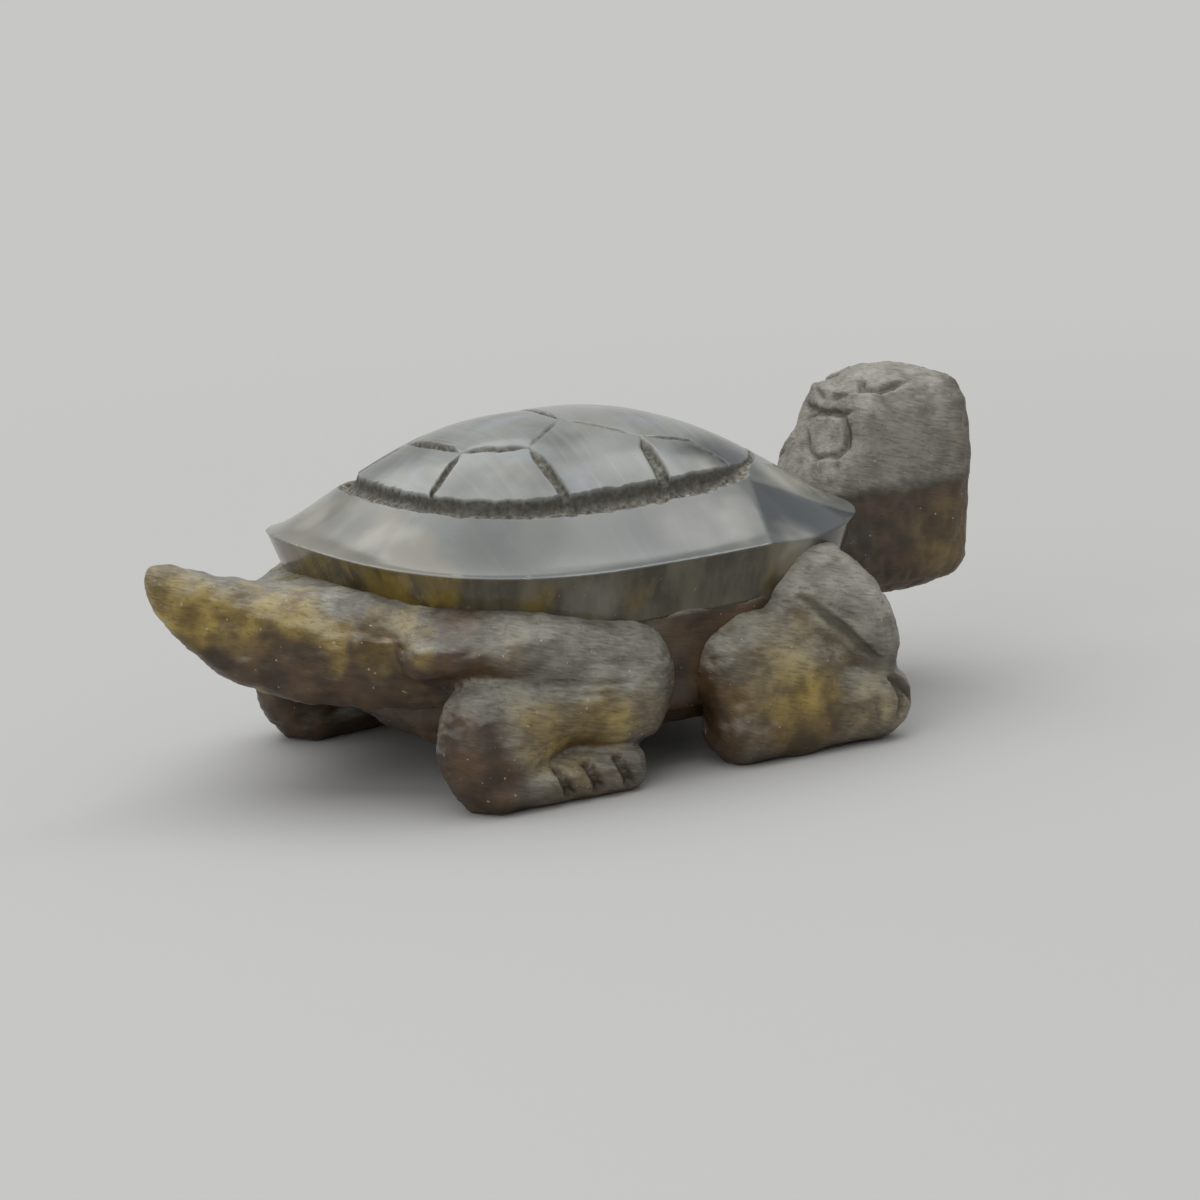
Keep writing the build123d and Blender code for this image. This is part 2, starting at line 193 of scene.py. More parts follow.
def egg_field(points, centre, half_sizes, tilt=0.0):
    """Egg with three half sizes, tilted in the upright plane along x by an angle."""
    offset = points - np.array(centre)
    x = offset[:, 0] * np.cos(tilt) + offset[:, 2] * np.sin(tilt)
    z = offset[:, 2] * np.cos(tilt) - offset[:, 0] * np.sin(tilt)
    a, b, c = half_sizes
    k = np.sqrt((x / a) ** 2 + (offset[:, 1] / b) ** 2 + (z / c) ** 2)
    return (k - 1) * min(half_sizes)


def groove_cut(points, line, width, depth, ends):
    """Depth of a cut along a line of corners: steep walls, a narrow floor and a point at both ends. It
    falls off with the distance from the line, over half of a width that tapers over the ends' share."""
    line = np.array(line, float)
    best = np.zeros(len(points))
    lengths = np.linalg.norm(np.diff(line, axis=0), axis=1)
    run = np.concatenate([[0], np.cumsum(lengths)])
    for i, length in enumerate(lengths):
        along = (line[i + 1] - line[i]) / length
        offset = points - line[i]
        t = np.clip(offset @ along, 0, length)
        away = np.linalg.norm(offset - t[:, None] * along, axis=1)
        share = (run[i] + t) / run[-1]
        taper = np.clip(np.minimum(share, 1 - share) / ends, 0.2, 1)
        best = np.maximum(best, depth * taper * smooth_ramp(1 - away / (width / 2 * taper), 0, 0.7))
    return best


def cut_lines(points, lines, ends=0.22):
    """Deepest of several cuts, each given by its corners, its width and its depth."""
    depth = np.zeros(len(points))
    for line, width, deep in lines:
        depth = np.maximum(depth, groove_cut(points, line, width, deep, ends))
    return depth


def mirrored(points):
    """Points with y folded onto the left side, where the limbs are described."""
    return np.column_stack([points[:, 0], np.abs(points[:, 1]), points[:, 2]])


# Level sections of the rump and tail from tip to thigh: place, half width at the shoulder, height of the
# shoulder, of the top and of the underside
RUMP_SECTIONS = np.array([
    (-39.5, 0.3, 21.2, 22, 20.6),
    (-37.9, 1.4, 20.6, 22.2, 18.2),
    (-36, 2.2, 19.9, 22.1, 15.4),
    (-34, 2.9, 19, 21.4, 13.2),
    (-32, 3.9, 18.2, 20.6, 11.5),
    (-29, 6.5, 16.6, 19.6, 9.6),
    (-26, 9.4, 15.4, 19.1, 8.8),
    (-22, 13.4, 15, 18.7, 8.3),
    (-18, 17.4, 15, 18.2, 7.9),
    (-14, 20.9, 14.8, 17.5, 7.7),
    (-10.5, 21.8, 14.4, 17, 7.7),
    (0, 21.8, 13.6, 15.6, 7.7),
])


def rump_field(points, side):
    """Rump and tail: upright walls that meet the long axis at 45 degrees and run out into the tail, under
    a rounded shoulder. The sizes of its sections follow the place along the turtle. The walls draw in
    below the shoulder above the shin, and the left side of the back is cut a little lower."""
    x, y, z = points.T
    wide, shoulder, top, under = (np.interp(x, RUMP_SECTIONS[:, 0], column) for column in RUMP_SECTIONS.T[1:])
    slope = np.interp(x, (-38, -33, -30, -16, -11), (0.4, 0.4, 1, 1, 0.1))
    wall = (y - wide) / np.sqrt(1 + slope ** 2)
    lean = np.interp(x, (-27, -20, -12, -8), (0.12, 0.36, 0.36, 0.12))
    wall += lean * np.maximum(shoulder - z, 0) + 0.34 * np.maximum(z - shoulder, 0)
    reach = np.clip(wide * 0.75, 0.8, 2.4)
    top = top - 0.14 * np.maximum(side, 0) * smooth_ramp(-x, 18, 24)
    field = soft_max(wall, (z - top) * 0.95, reach)
    field = soft_max(field, (under - z) * 0.85, np.minimum(reach, 2.2))
    field = soft_max(field, -38.6 - x, 1.2)
    return soft_max(field, x + 7, 5)


def thigh_field(points):
    """Thigh from the rump forward to the knee."""
    return limb_field(points, (
        (-19, 14.2, 14, 4.1, 2.7),
        (-13.5, 17.2, 13.8, 4.3, 2.9),
        (-7.5, 18, 12.4, 4, 3.9),
        (-3.4, 18.1, 10.8, 3.9, 4.3),
    ))


def hind_upper_field(points):
    """Rump, tail and thigh, blended into one flank."""
    left = mirrored(points)
    return soft_min(rump_field(left, points[:, 1]), thigh_field(left), 1.2)


def hind_lower_field(points):
    """Knee, shin, heel and foot, folded under the thigh."""
    points = mirrored(points)
    knee = egg_field(points, (-3.1, 18.1, 9.3), (5.8, 3.9, 6))
    shin = limb_field(points, (
        (-3.4, 18.3, 8.4, 3.65, 4),
        (-9.5, 18.3, 8.6, 3.75, 4.1),
        (-15.4, 18.2, 6.8, 3.75, 4.7),
    ))
    heel = egg_field(points, (-15.2, 18.2, 5.4), (5.2, 3.95, 5.9))
    foot = limb_field(points, (
        (-15.8, 18.2, 1.9, 3.9, 2.6),
        (-10, 18.4, 2, 3.9, 2.2),
        (-3.6, 18.6, 2.1, 3.7, 2.5),
    ))
    field = soft_min(knee, shin, 2.2)
    field = soft_min(field, heel, 1.8)
    return soft_min(field, foot, 0.35)


# Creases of a rear leg above and along the shin and over the foot: corners, width and depth
SHIN_FOLDS = (
    (((-21, 19.5, 10.6), (-18.1, 21.3, 11.8), (-14.2, 22.2, 12.6), (-10.6, 22.4, 13)), 2, 0.55),
    (((-11.6, 21.5, 12.5), (-7.4, 21.8, 12.2), (-2.9, 21.8, 11.8), (0, 21.3, 10.9)), 0.9, 0.26),
    (((-15.6, 20.6, 11), (-11.1, 21.3, 11), (-6.7, 22.1, 10.4), (-1.8, 22.2, 9.9), (0.4, 21.4, 8.7)),
     0.8, 0.24),
    (((-11.1, 21.9, 9.7), (-6.9, 22.2, 9.5), (-2, 22.4, 8.9)), 0.7, 0.2),
    (((-13.5, 21.8, 4.2), (-9, 21.9, 4.3), (-3.2, 21.9, 4.7)), 1.6, 0.5),
)
# Slits between the toes, three on each foot
REAR_TOE_SLITS = tuple(
    (((x - 0.3, 20.9, 4.1), (x - 0.1, 21.8, 3.2), (x + 0.2, 22.3, 2.2), (x + 0.6, 22, 1),
      (x + 0.8, 21.2, 0.4)), 1.4, 0.8)
    for x in (-10.6, -7.7, -4.7))


def rear_leg_cuts(points):
    """Carved lines of a rear leg: its creases and the slits between the toes."""
    points = mirrored(points)
    return np.maximum(cut_lines(points, SHIN_FOLDS, 0.35), cut_lines(points, REAR_TOE_SLITS, 0.15))


def front_leg_field(points):
    """Arm down to the elbow, a broad forearm beneath it and a thick hand with rounded toes, cut off level
    at the ground."""
    points = mirrored(points)
    arm = limb_field(points, (
        (14.5, 14, 16.4, 4.2, 4.3),
        (18.4, 16.4, 14.8, 4.2, 4.2),
        (21.5, 17.8, 11.6, 4.2, 3.8),
        (23.2, 18.3, 8.8, 3.7, 2.9),
    ))
    forearm = egg_field(points, (13.4, 17.7, 6.9), (8.4, 4.5, 6.1), -0.5)
    hand = limb_field(points, (
        (9.6, 18, 2.9, 4.1, 3.2),
        (16, 18.2, 3.1, 3.95, 3.6),
        (22.8, 18.2, 3.2, 3.95, 3.1),
    ))
    fill = egg_field(points, (16.8, 17.2, 13.2), (3.6, 3.9, 3.4), 0.8)
    knuckles = egg_field(points, (23, 19.8, 3.7), (3.6, 2.4, 3.5))
    field = soft_min(soft_min(arm, forearm, 1.6), fill, 1.6)
    return np.maximum(soft_min(field, soft_min(hand, knuckles, 0.8), 1.2), -points[:, 2])


# Folds between arm and forearm and round the hand: corners, width and depth
ARM_FOLDS = (
    (((14.1, 19.4, 14.8), (15.9, 21, 13.8), (18.5, 21.1, 11.4), (20.7, 21.3, 9), (22.4, 21.6, 7.7),
      (23.9, 21.3, 7)), 1.6, 0.42),
    (((15.2, 20.8, 12.2), (17.9, 20.6, 10.1), (20.3, 20.7, 8.3)), 1, 0.22),
    (((16.3, 21, 14.2), (19, 21.4, 12.7), (21.2, 22, 10.7)), 0.9, 0.22),
    (((23.4, 21.5, 6.7), (24.1, 21.8, 5.6), (24.5, 22.2, 4), (24.1, 22.3, 2.5), (23.6, 21.9, 1.5)),
     1.4, 0.6),
    (((20.9, 21.5, 5.7), (21.5, 22.4, 4.3), (21.8, 22.5, 2.8), (21.7, 21.8, 1.2)), 1, 0.2),
)
# Slits between the toes: places across the hand at the slit's root, and how they spread towards the tips
FRONT_TOE_SLITS = tuple(
    (((21.8, 18.4 + y, 6.2), (24.2, 18.4 + y * spread, 5.6), (26.4, 18.4 + y * spread, 3),
      (25.4, 18.4 + y * spread, 0.4)), 1.1, 0.7)
    for y, spread in ((-2.3, 0.77), (0.1, 1.01), (2.5, 1.25)))


def front_leg_cuts(points):
    """Carved lines of a front leg: the folds under the arm and the slits between the toes."""
    points = mirrored(points)
    return np.maximum(cut_lines(points, ARM_FOLDS, 0.25), cut_lines(points, FRONT_TOE_SLITS, 0.2))


# Height, back, front and half width of the level slices through neck and head
HEAD_SLICES = np.array([
    (8.8, 29.5, 41, 2.6),
    (10, 25.5, 43.4, 4),
    (11.4, 24, 44.6, 4.7),
    (14.5, 25, 44.8, 5.4),
    (18.6, 26.8, 44.9, 6),
    (20, 27.5, 45, 6.55),
    (22.5, 28.7, 45, 6.6),
    (24.5, 30.3, 45, 6.6),
    (26.8, 31.2, 44.9, 6.2),
    (28.6, 32, 43.8, 5.2),
    (29.7, 34, 41.6, 3.8),
    (30.3, 36.4, 39.8, 1.8),
])


def head_field(points):
    """Neck and head: level slices with square-rounded outlines, whose sizes follow the height."""
    x, y, z = points.T
    back, front, half = (np.interp(z, HEAD_SLICES[:, 0], column) for column in HEAD_SLICES.T[1:])
    middle = (back + front) / 2
    reach = (front - back) / 2
    inner = np.minimum(half, reach)
    along = np.maximum(np.abs(x - middle) - (reach - inner), 0) / inner
    k = (along ** 3.6 + (np.abs(y) / inner) ** 3.6) ** (1 / 3.6)
    side = (k - 1) * inner * 0.85
    low, high = HEAD_SLICES[0, 0], HEAD_SLICES[-1, 0]
    return soft_max(side, np.maximum(low - z, z - high), 0.8)


# Carved lines of the head, mirrored: corners, width and depth
HEAD_LINES = (
    (((31.3, 0, 26.6), (31.3, 2.9, 26.7), (33.2, 5.6, 26.9)), 1.1, 0.5),
    (((31.4, 0, 27.6), (31.8, 1.7, 28.1), (33.2, 3.8, 28.9)), 0.9, 0.25),
    (((34.6, 0, 30.4), (33.9, 2.2, 29.9), (33.2, 3.8, 28.9), (34.5, 4.9, 28.7), (38, 4.6, 29.1)),
     1.2, 0.5),
    (((40.2, 3.4, 29.7), (41.6, 4, 29), (42.5, 4.6, 28.2)), 0.8, 0.22),
    (((34.4, 5.2, 28.4), (34.6, 5.8, 27.4), (35.6, 6.2, 26)), 0.9, 0.22),
    (((29.4, 4.2, 22.9), (29, 5.2, 22), (28.6, 6, 20.8)), 0.9, 0.28),
    (((33.8, 6.6, 20.2), (36.5, 6.7, 19.5), (41.5, 6.4, 18.9), (44.9, 3, 18.8)), 0.9, 0.2),
)
# Outline of the single six-sided scale on the nape, which lies a little to the right
NAPE_SCALE = (
    (30.8, 2.3, 25.2), (31.2, 1, 26.4), (31.4, -2.9, 26.7), (31.2, -4.2, 25.3), (30.7, -4.7, 23.9),
    (29.9, -4.3, 23), (29.1, -1.9, 22.6), (29.6, 0.3, 23), (30.8, 2.3, 25.2))


def head_cuts(points):
    """Carved lines of the head: the borders of its scales and the jaw line."""
    return np.maximum(groove_cut(points, NAPE_SCALE, 1.1, 0.5, 0.1), cut_lines(mirrored(points), HEAD_LINES))


# Heights of the trunk's top and foot and of the belly's underside, and how far the trunk lies inside the
# rim in front, behind and at the sides
TRUNK_TOP = 14.4
TRUNK_FOOT = 5.4
BELLY = 3.3
TRUNK_INSETS = (2.3, 2.6, 1.7)


def trunk_field(points):
    """Trunk under the shell: an upright wall on the shell's rounded oblong, drawn in downwards."""
    x, y, z = points.T
    lean = (TRUNK_TOP - z) * 0.21
    front, rear, half = (size - inset - lean for size, inset in
                         zip((SHELL_FRONT, SHELL_REAR, SHELL_HALF_WIDTH), TRUNK_INSETS))
    k = np.cbrt(np.abs(x / np.where(x > 0, front, rear)) ** 3 + np.abs(y / half) ** 3)
    wall = (k - 1) * half + sink(z - TRUNK_TOP)
    return soft_max(wall, z - 16, 0.4)


# Meshes from fields

def level_surface(field, low, high, step):
    """Closed mesh of quads where a field is zero: one vertex in each cube that the surface crosses, at the
    mean of its crossings of the cube's edges, and one quad around each grid edge that it crosses."""
    axes = [np.arange(a, b + step, step) for a, b in zip(low, high)]
    shape = tuple(len(axis) for axis in axes)
    grid = np.stack(np.meshgrid(*axes, indexing="ij"), -1).reshape(-1, 3)
    values = field(grid).reshape(shape)
    inside = values < 0
    corners = [np.array([c >> 2 & 1, c >> 1 & 1, c & 1]) for c in range(8)]
    count = sum(inside[tuple(slice(a, size - 1 + a) for a, size in zip(c, shape))].astype(int)
                for c in corners)
    mixed = (count > 0) & (count < 8)
    cells = np.argwhere(mixed)
    index = np.full(mixed.shape, -1)
    index[mixed] = np.arange(len(cells))
    total = np.zeros((len(cells), 3))
    hits = np.zeros(len(cells))
    for a in corners:
        for axis in range(3):
            if a[axis]:
                continue
            b = a + np.eye(3, dtype=int)[axis]
            va = values[tuple((cells + a).T)]
            vb = values[tuple((cells + b).T)]
            crossed = (va < 0) != (vb < 0)
            t = np.where(crossed, va / np.where(crossed, va - vb, 1), 0)
            total += np.where(crossed[:, None], a + t[:, None] * (b - a), 0)
            hits += crossed
    vertices = np.array(low) + (cells + total / hits[:, None]) * step
    faces = []
    for axis in range(3):
        u, v = (axis + 1) % 3, (axis + 2) % 3
        lower = [slice(None)] * 3
        upper = [slice(None)] * 3
        lower[axis] = slice(None, -1)
        upper[axis] = slice(1, None)
        first = inside[tuple(lower)]
        second = inside[tuple(upper)]
        spots = np.argwhere(first != second)
        keep = (spots[:, u] > 0) & (spots[:, v] > 0)
        keep &= (spots[:, u] < shape[u] - 1) & (spots[:, v] < shape[v] - 1)
        spots = spots[keep]
        eu, ev = np.eye(3, dtype=int)[u], np.eye(3, dtype=int)[v]
        ring = [index[tuple((spots - du * eu - dv * ev).T)] for du, dv in ((0, 0), (1, 0), (1, 1), (0, 1))]
        quad = np.stack(ring, 1)
        outward = first[tuple(spots.T)]
        quad[~outward] = quad[~outward][:, ::-1]
        faces.append(quad)
    return vertices, np.concatenate(faces)


def divide(vertices, quads):
    """Each quad becomes four, with new vertices at the middles of its edges and of itself."""
    edges = np.sort(np.stack([quads, np.roll(quads, -1, 1)], -1), -1).reshape(-1, 2)
    unique, place = np.unique(edges, axis=0, return_inverse=True)
    count = len(vertices)
    middle = place.reshape(-1, 4) + count
    centre = (np.arange(len(quads)) + count + len(unique))[:, None]
    parts = [np.concatenate([quads[:, [i]], middle[:, [i]], centre, middle[:, [i - 1]]], 1) for i in range(4)]
    stacked = np.concatenate([vertices, vertices[unique].mean(1), vertices[quads].mean(1)])
    return stacked, np.concatenate(parts)


def relax(vertices, quads, rounds):
    """Each vertex moves half way to the mean of its neighbours, which evens the grid out."""
    a = quads.ravel()
    b = np.roll(quads, -1, 1).ravel()
    for _ in range(rounds):
        total = np.zeros_like(vertices)
        number = np.zeros(len(vertices))
        for one, other in ((a, b), (b, a)):
            np.add.at(total, one, vertices[other])
            np.add.at(number, one, 1)
        vertices = (vertices + total / number[:, None]) / 2
    return vertices


def settle(vertices, field, rounds, most=0.35):
    """Vertices move along the field's slope until the field is zero there."""
    small = 0.02
    for _ in range(rounds):
        value = field(vertices)
        slope = np.stack([(field(vertices + small * step) - value) / small for step in np.eye(3)], 1)
        steep = np.maximum((slope ** 2).sum(1), 0.05)
        move = -value / steep
        length = np.linalg.norm(move[:, None] * slope, axis=1)
        move *= np.minimum(1, most / np.maximum(length, 1e-9))
        vertices = vertices + move[:, None] * slope
    return vertices


def outward_normals(vertices, quads):
    """Mean normal of the faces round each vertex."""
    a, b, c, d = vertices[quads.T]
    normal = np.cross(c - a, d - b)
    total = np.zeros_like(vertices)
    for i in range(4):
        np.add.at(total, quads[:, i], normal)
    return total / np.maximum(np.linalg.norm(total, axis=1), 1e-12)[:, None]


def add_piece(name, vertices, faces, material, nodes, attributes):
    """Mesh object with its place in its mesh, which rides on the one body and stands for CAD nodes."""
    mesh = bpy.data.meshes.new(name)
    corners = np.concatenate([face.ravel() for face in faces])
    sizes = np.concatenate([np.full(len(face), face.shape[1]) for face in faces])
    starts = np.concatenate([[0], np.cumsum(sizes)[:-1]])
    mesh.vertices.add(len(vertices))
    mesh.vertices.foreach_set("co", ((vertices + CREST) * MM).astype(np.float32).ravel())
    mesh.loops.add(len(corners))
    mesh.loops.foreach_set("vertex_index", corners.astype(np.int32))
    mesh.polygons.add(len(sizes))
    mesh.polygons.foreach_set("loop_start", starts.astype(np.int32))
    mesh.polygons.foreach_set("use_smooth", np.ones(len(sizes), bool))
    for label, values in attributes.items():
        layer = mesh.attributes.new(label, "FLOAT", "POINT")
        layer.data.foreach_set("value", np.asarray(values, np.float32))
    mesh.update(calc_edges=True)
    mesh.validate()
    mesh.materials.append(material)
    piece = bpy.data.objects.new(name, mesh)
    bpy.context.scene.collection.objects.link(piece)
    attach(piece, "root")
    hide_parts(*nodes)


# Materials

def linear(code, share=1):
    """sRGB hex colour as linear numbers, made darker or lighter by a share."""
    value = np.array([int(code[i:i + 2], 16) for i in (1, 3, 5)]) / 255
    value = np.where(value <= 0.04045, value / 12.92, ((value + 0.055) / 1.055) ** 2.4)
    return (*(value * share), 1)


def chosen(colour):
    """A user's sRGB colour as a hex code."""
    return "#" + "".join(f"{round(channel * 255):02X}" for channel in colour)


def set_inputs(tree, node, inputs):
    """Inputs of a node by name or number: a value is set, and an output socket is linked."""
    for key, value in inputs.items():
        if isinstance(value, bpy.types.NodeSocket):
            tree.links.new(value, node.inputs[key])
        else:
            node.inputs[key].default_value = value


def add_node(tree, kind, inputs=None, **settings):
    """Node with its settings and its inputs."""
    node = tree.nodes.new("ShaderNode" + kind)
    for key, value in settings.items():
        setattr(node, key, value)
    set_inputs(tree, node, inputs or {})
    return node


def new_material(name):
    """Material with its node tree and shader, and the place that its patterns read."""
    material = bpy.data.materials.new(name)
    material.use_nodes = True
    tree = material.node_tree
    return material, tree, tree.nodes["Principled BSDF"], add_node(tree, "TexCoord").outputs["Object"]


def add_masks(tree, place, patterns, labels):
    """What the coats follow, by name. A pattern is noise, given by the size of its cells in millimetres, its
    detail and, if it has one, its stretch along x, y and z. A label is a value that each vertex carries."""
    masks = {}
    for name, (cell, detail, *stretch) in patterns.items():
        scale = [1 / (cell * MM * share) for share in stretch or (1, 1, 1)]
        scaled = add_node(tree, "VectorMath", {0: place, 1: scale}, operation="MULTIPLY").outputs[0]
        noise = add_node(tree, "TexNoise", {"Vector": scaled, "Scale": 1, "Detail": detail})
        masks[name] = noise.outputs["Fac"]
    for label in labels:
        masks[label] = add_node(tree, "Attribute", attribute_name=label).outputs["Fac"]
    return masks


def add_coats(tree, masks, base, coats):
    """Colour laid on in coats over a base, both given as hex codes, linear colours or sockets. A coat is
    its colour, its strength and the masks it follows: a label, or a pattern with the two values between
    which a smooth ramp of it rises."""
    body = linear(base) if isinstance(base, str) else base
    for colour, share, *followed in coats:
        for mask in followed:
            if isinstance(mask, str):
                value = masks[mask]
            else:
                name, low, high = mask
                value = add_node(tree, "MapRange", {"Value": masks[name], "From Min": low, "From Max": high},
                                 interpolation_type="SMOOTHSTEP").outputs["Result"]
            share = add_node(tree, "Math", {0: value, 1: share}, operation="MULTIPLY").outputs[0]
        over = linear(colour) if isinstance(colour, str) else colour
        body = add_node(tree, "Mix", {0: share, 6: body, 7: over}, data_type="RGBA").outputs[2]
    return body


# Labradorite is a feldspar, whose refractive index is about 1.56
FELDSPAR_IOR = 1.56


def polished_labradorite():
    """Feldspar ground and polished: grey and milky, with clouds, fine upright streaks and a golden vein,
    under a wet gloss. Its blue sheen is painted into the colour in clouds, a silver sheen is painted in pale
    patches, shade is painted on the main groove's inner wall and in patches of darker stone, and the flats at
    the front corners are painted in a dark bluish reflection. The carved lines are left as the wheel cut
    them, so they are rough and dull, and the skirt is darker, in upright bands of olive and brown. The
    streaks of the cleavage lie about 0.1 mm apart and are drawn 0.8 mm apart, as fine as shows."""
    material, tree, shader, place = new_material("hand_polished_labradorite")
    grey = chosen(bpy.context.scene.turtle_colours.polished_grey)
    masks = add_masks(tree, place, {
        "cloud": (9, 3),
        "painted_blue_sheen": (4, 3, 1.6, 1, 1),
        "streak": (0.8, 2, 1, 12, 12),
        "fleck": (0.30, 1),
        "stripe": (3.2, 3, 1, 1, 5),
        "sheet": (1.1, 3, 1, 1, 2.5),
        "grit": (0.5, 3),
        "wave": (3.5, 1),
    }, ("band", "gold", "dark_stone_and_painted_shade", "facet_painted_reflection", "skirt", "pale_stone_and_painted_sheen", "deep", "cut"))
    brown = add_coats(tree, masks, "#352E21", (
        ("#5E5845", 1, ("stripe", 0.36, 0.66)),
        ("#544E38", 0.5, ("sheet", 0.48, 0.66)),
    ))
    gold = add_coats(tree, masks, "#3A3013", (
        ("#6A5822", 1, ("stripe", 0.36, 0.66)),
        ("#7E6A30", 0.5, ("sheet", 0.50, 0.66)),
    ))
    skirt = add_coats(tree, masks, brown, ((gold, 1, "gold"), ("#8E8768", 0.5, ("fleck", 0.74, 0.80))))
    floor = add_coats(tree, masks, "#504D3F", (
        ("#8E8B80", 1, ("grit", 0.36, 0.66)),
        ("#B9B6A8", 1, ("grit", 0.68, 0.74)),
        # painted shade on the main groove's inner wall, and less of it in the seams
        ("#2C281D", 0.85, "deep"),
    ))
    body = add_coats(tree, masks, linear(grey, 0.62), (
        (linear(grey, 1.05), 1, ("cloud", 0.36, 0.64)),
        # the blue sheen painted into the colour in clouds
        ("#87939E", 0.45, ("painted_blue_sheen", 0.50, 0.72)),
        ("#A8A698", 0.15, ("streak", 0.50, 0.68)),
        ("#5C6162", 0.15, ("streak", 0.44, 0.30)),
        ("#606360", 0.7, "band"),
        ("#857E68", 0.45, "band", "gold"),
        # darker stone together with painted shade where the polish reflects less light
        ("#363C3F", 1, "dark_stone_and_painted_shade"),
        # the flats at the front corners painted dark bluish, standing in for their reflection
        ("#313A40", 0.85, "facet_painted_reflection"),
        ("#55513F", 0.5, ("fleck", 0.72, 0.78)),
        (skirt, 1, "skirt"),
        # painted sheen and reflection, and pale stone on the skirt
        ("#AAA89D", 1, "pale_stone_and_painted_sheen"),
        (floor, 1, "cut"),
    ))
    dull = add_node(tree, "MapRange", {"Value": masks["cut"], "To Min": 0.155, "To Max": 0.60})
    # the hand-held wheel leaves the polish a little wavy
    wave = add_node(tree, "Bump", {"Height": masks["wave"], "Strength": 0.25, "Distance": 0.12 * MM})
    rough = add_node(tree, "Bump", {"Height": masks["grit"], "Strength": masks["cut"], "Distance": 0.12 * MM,
                                    "Normal": wave.outputs["Normal"]})
    set_inputs(tree, shader, {"Base Color": body, "Roughness": dull.outputs["Result"], "IOR": FELDSPAR_IOR,
                              "Normal": rough.outputs["Normal"]})
    return material


def wheel_cut_labradorite():
    """The same feldspar as the cutting wheel left it: grey where it faces up, which is dust together with
    painted light from above, brown on the walls and golden in its veins, with scratches along the limbs, pale
    chips and a satin shine. Shade is painted into the carved lines and in patches. The wheel's grit scratches
    some 0.05 mm wide and is drawn at 0.2 mm, as fine as shows."""
    material, tree, shader, place = new_material("wheel_cut_labradorite")
    colours = bpy.context.scene.turtle_colours
    brown, grey = chosen(colours.deep_brown), chosen(colours.dusty_and_lit_grey)
    turned = add_node(tree, "Mapping", {"Vector": place, "Rotation": (0, np.radians(-16), 0)})
    masks = add_masks(tree, place, {
        "mottle": (2.8, 4),
        "speckle": (0.5, 2),
        "chip": (0.36, 0),
    }, ("dust_and_painted_shading", "gold", "cut"))
    masks |= add_masks(tree, turned.outputs[0], {"scratch": (0.20, 2, 6, 3, 1)}, ())
    wall, dusty_and_lit, vein = (add_coats(tree, masks, dark, ((light, 1, ("mottle", low, high)),))
                         for dark, light, low, high in (
                             (linear(brown, 0.62), linear(brown, 1.5), 0.36, 0.66),
                             (linear(grey, 0.74), linear(grey, 1.22), 0.34, 0.68),
                             ("#705A20", "#AC964C", 0.36, 0.66)))
    body = add_coats(tree, masks, wall, (
        # dust together with painted light from above on the faces that point up
        (dusty_and_lit, 1, "dust_and_painted_shading"),
        (vein, 0.9, "gold"),
        ("#A8A394", 0.35, ("scratch", 0.52, 0.68), "dust_and_painted_shading"),
        ("#2E2416", 0.35, ("scratch", 0.46, 0.30)),
        ("#3B3020", 0.30, ("speckle", 0.60, 0.72)),
        ("#BDB8A8", 0.55, ("chip", 0.82, 0.86)),
        # painted shade in the carved lines
        ("#352C1C", 0.7, "cut"),
    ))
    bump = add_node(tree, "Bump", {"Height": masks["scratch"], "Strength": 0.6, "Distance": 0.08 * MM})
    set_inputs(tree, shader, {"Base Color": body, "Roughness": 0.46, "IOR": FELDSPAR_IOR,
                              "Normal": bump.outputs["Normal"]})
    return material


def material_named(name, make):
    """The material of that name, made once."""
    return bpy.data.materials.get(name) or make()


# Shell

# Corners of the scutes, as shares of the shell's half lengths and half width
SCUTE_CORNERS = {
    "rear": (-0.405, 0.19),
    "rear_bow": (-0.295, 0.31),
    "rear_side": (-0.19, 0.36),
    "crest_bow": (-0.065, 0.27),
    "crest": (0.035, 0.18),
    "front_side": (0.23, 0.40),
    "front_bow": (0.40, 0.43),
    "rear_ring": (-0.64, 0.35),
    "side_ring_rear": (-0.175, 0.70),
    "side_ring_front": (0.205, 0.71),
    "front_ring": (0.505, 0.62),
}
# On the left the rear scute is a little wider
LEFT_CORNERS = {"rear": (-0.42, 0.28), "rear_ring": (-0.63, 0.44)}
# Corners of each seam, then its width and depth as shares of the widest seam's
SEAMS = (
    (("rear", "rear_bow", "rear_side"), 0.85, 0.8),
    (("rear_side", "crest_bow", "crest"), 0.40, 0.3),
    (("crest", "front_side"), 0.40, 0.35),
    (("rear", "rear_ring"), 0.90, 1),
    (("rear_side", "side_ring_rear"), 1.10, 1),
    (("front_side", "side_ring_front"), 1.35, 1.25),
    (("front_side", "front_bow", "front_ring"), 0.50, 0.5),
)
CROSS_SEAMS = (("rear", 0.90, 1), ("crest", 0.80, 0.9))
GROOVE_SHARE = 0.684
DOME_FLATNESS = 2.23
DOME_FRONT_FULLNESS = 0.5
DOME_EDGE = 1.43
SKIRT_SLOPE = 0.34
RIM_TURNS = 900
# Depth of a cut at which its floor is wholly rough
ROUGH_DEPTH = 0.2


def rim_z(x, sizes):
    """Height of the sharp rim: it rises with the square of the distance from the crest."""
    front = sizes.front_rise / MM * (x / SHELL_FRONT) ** 2
    rear = sizes.rear_rise / MM * (x / SHELL_REAR) ** 2
    return sizes.rim_height / MM + np.where(x > 0, front, rear)


def shell_radius(x, y):
    """Share of the way from the crest to the outline, by a superellipse of power three."""
    length = np.where(x > 0, SHELL_FRONT, SHELL_REAR)
    return np.cbrt(np.abs(x / length) ** 3 + np.abs(y / SHELL_HALF_WIDTH) ** 3)


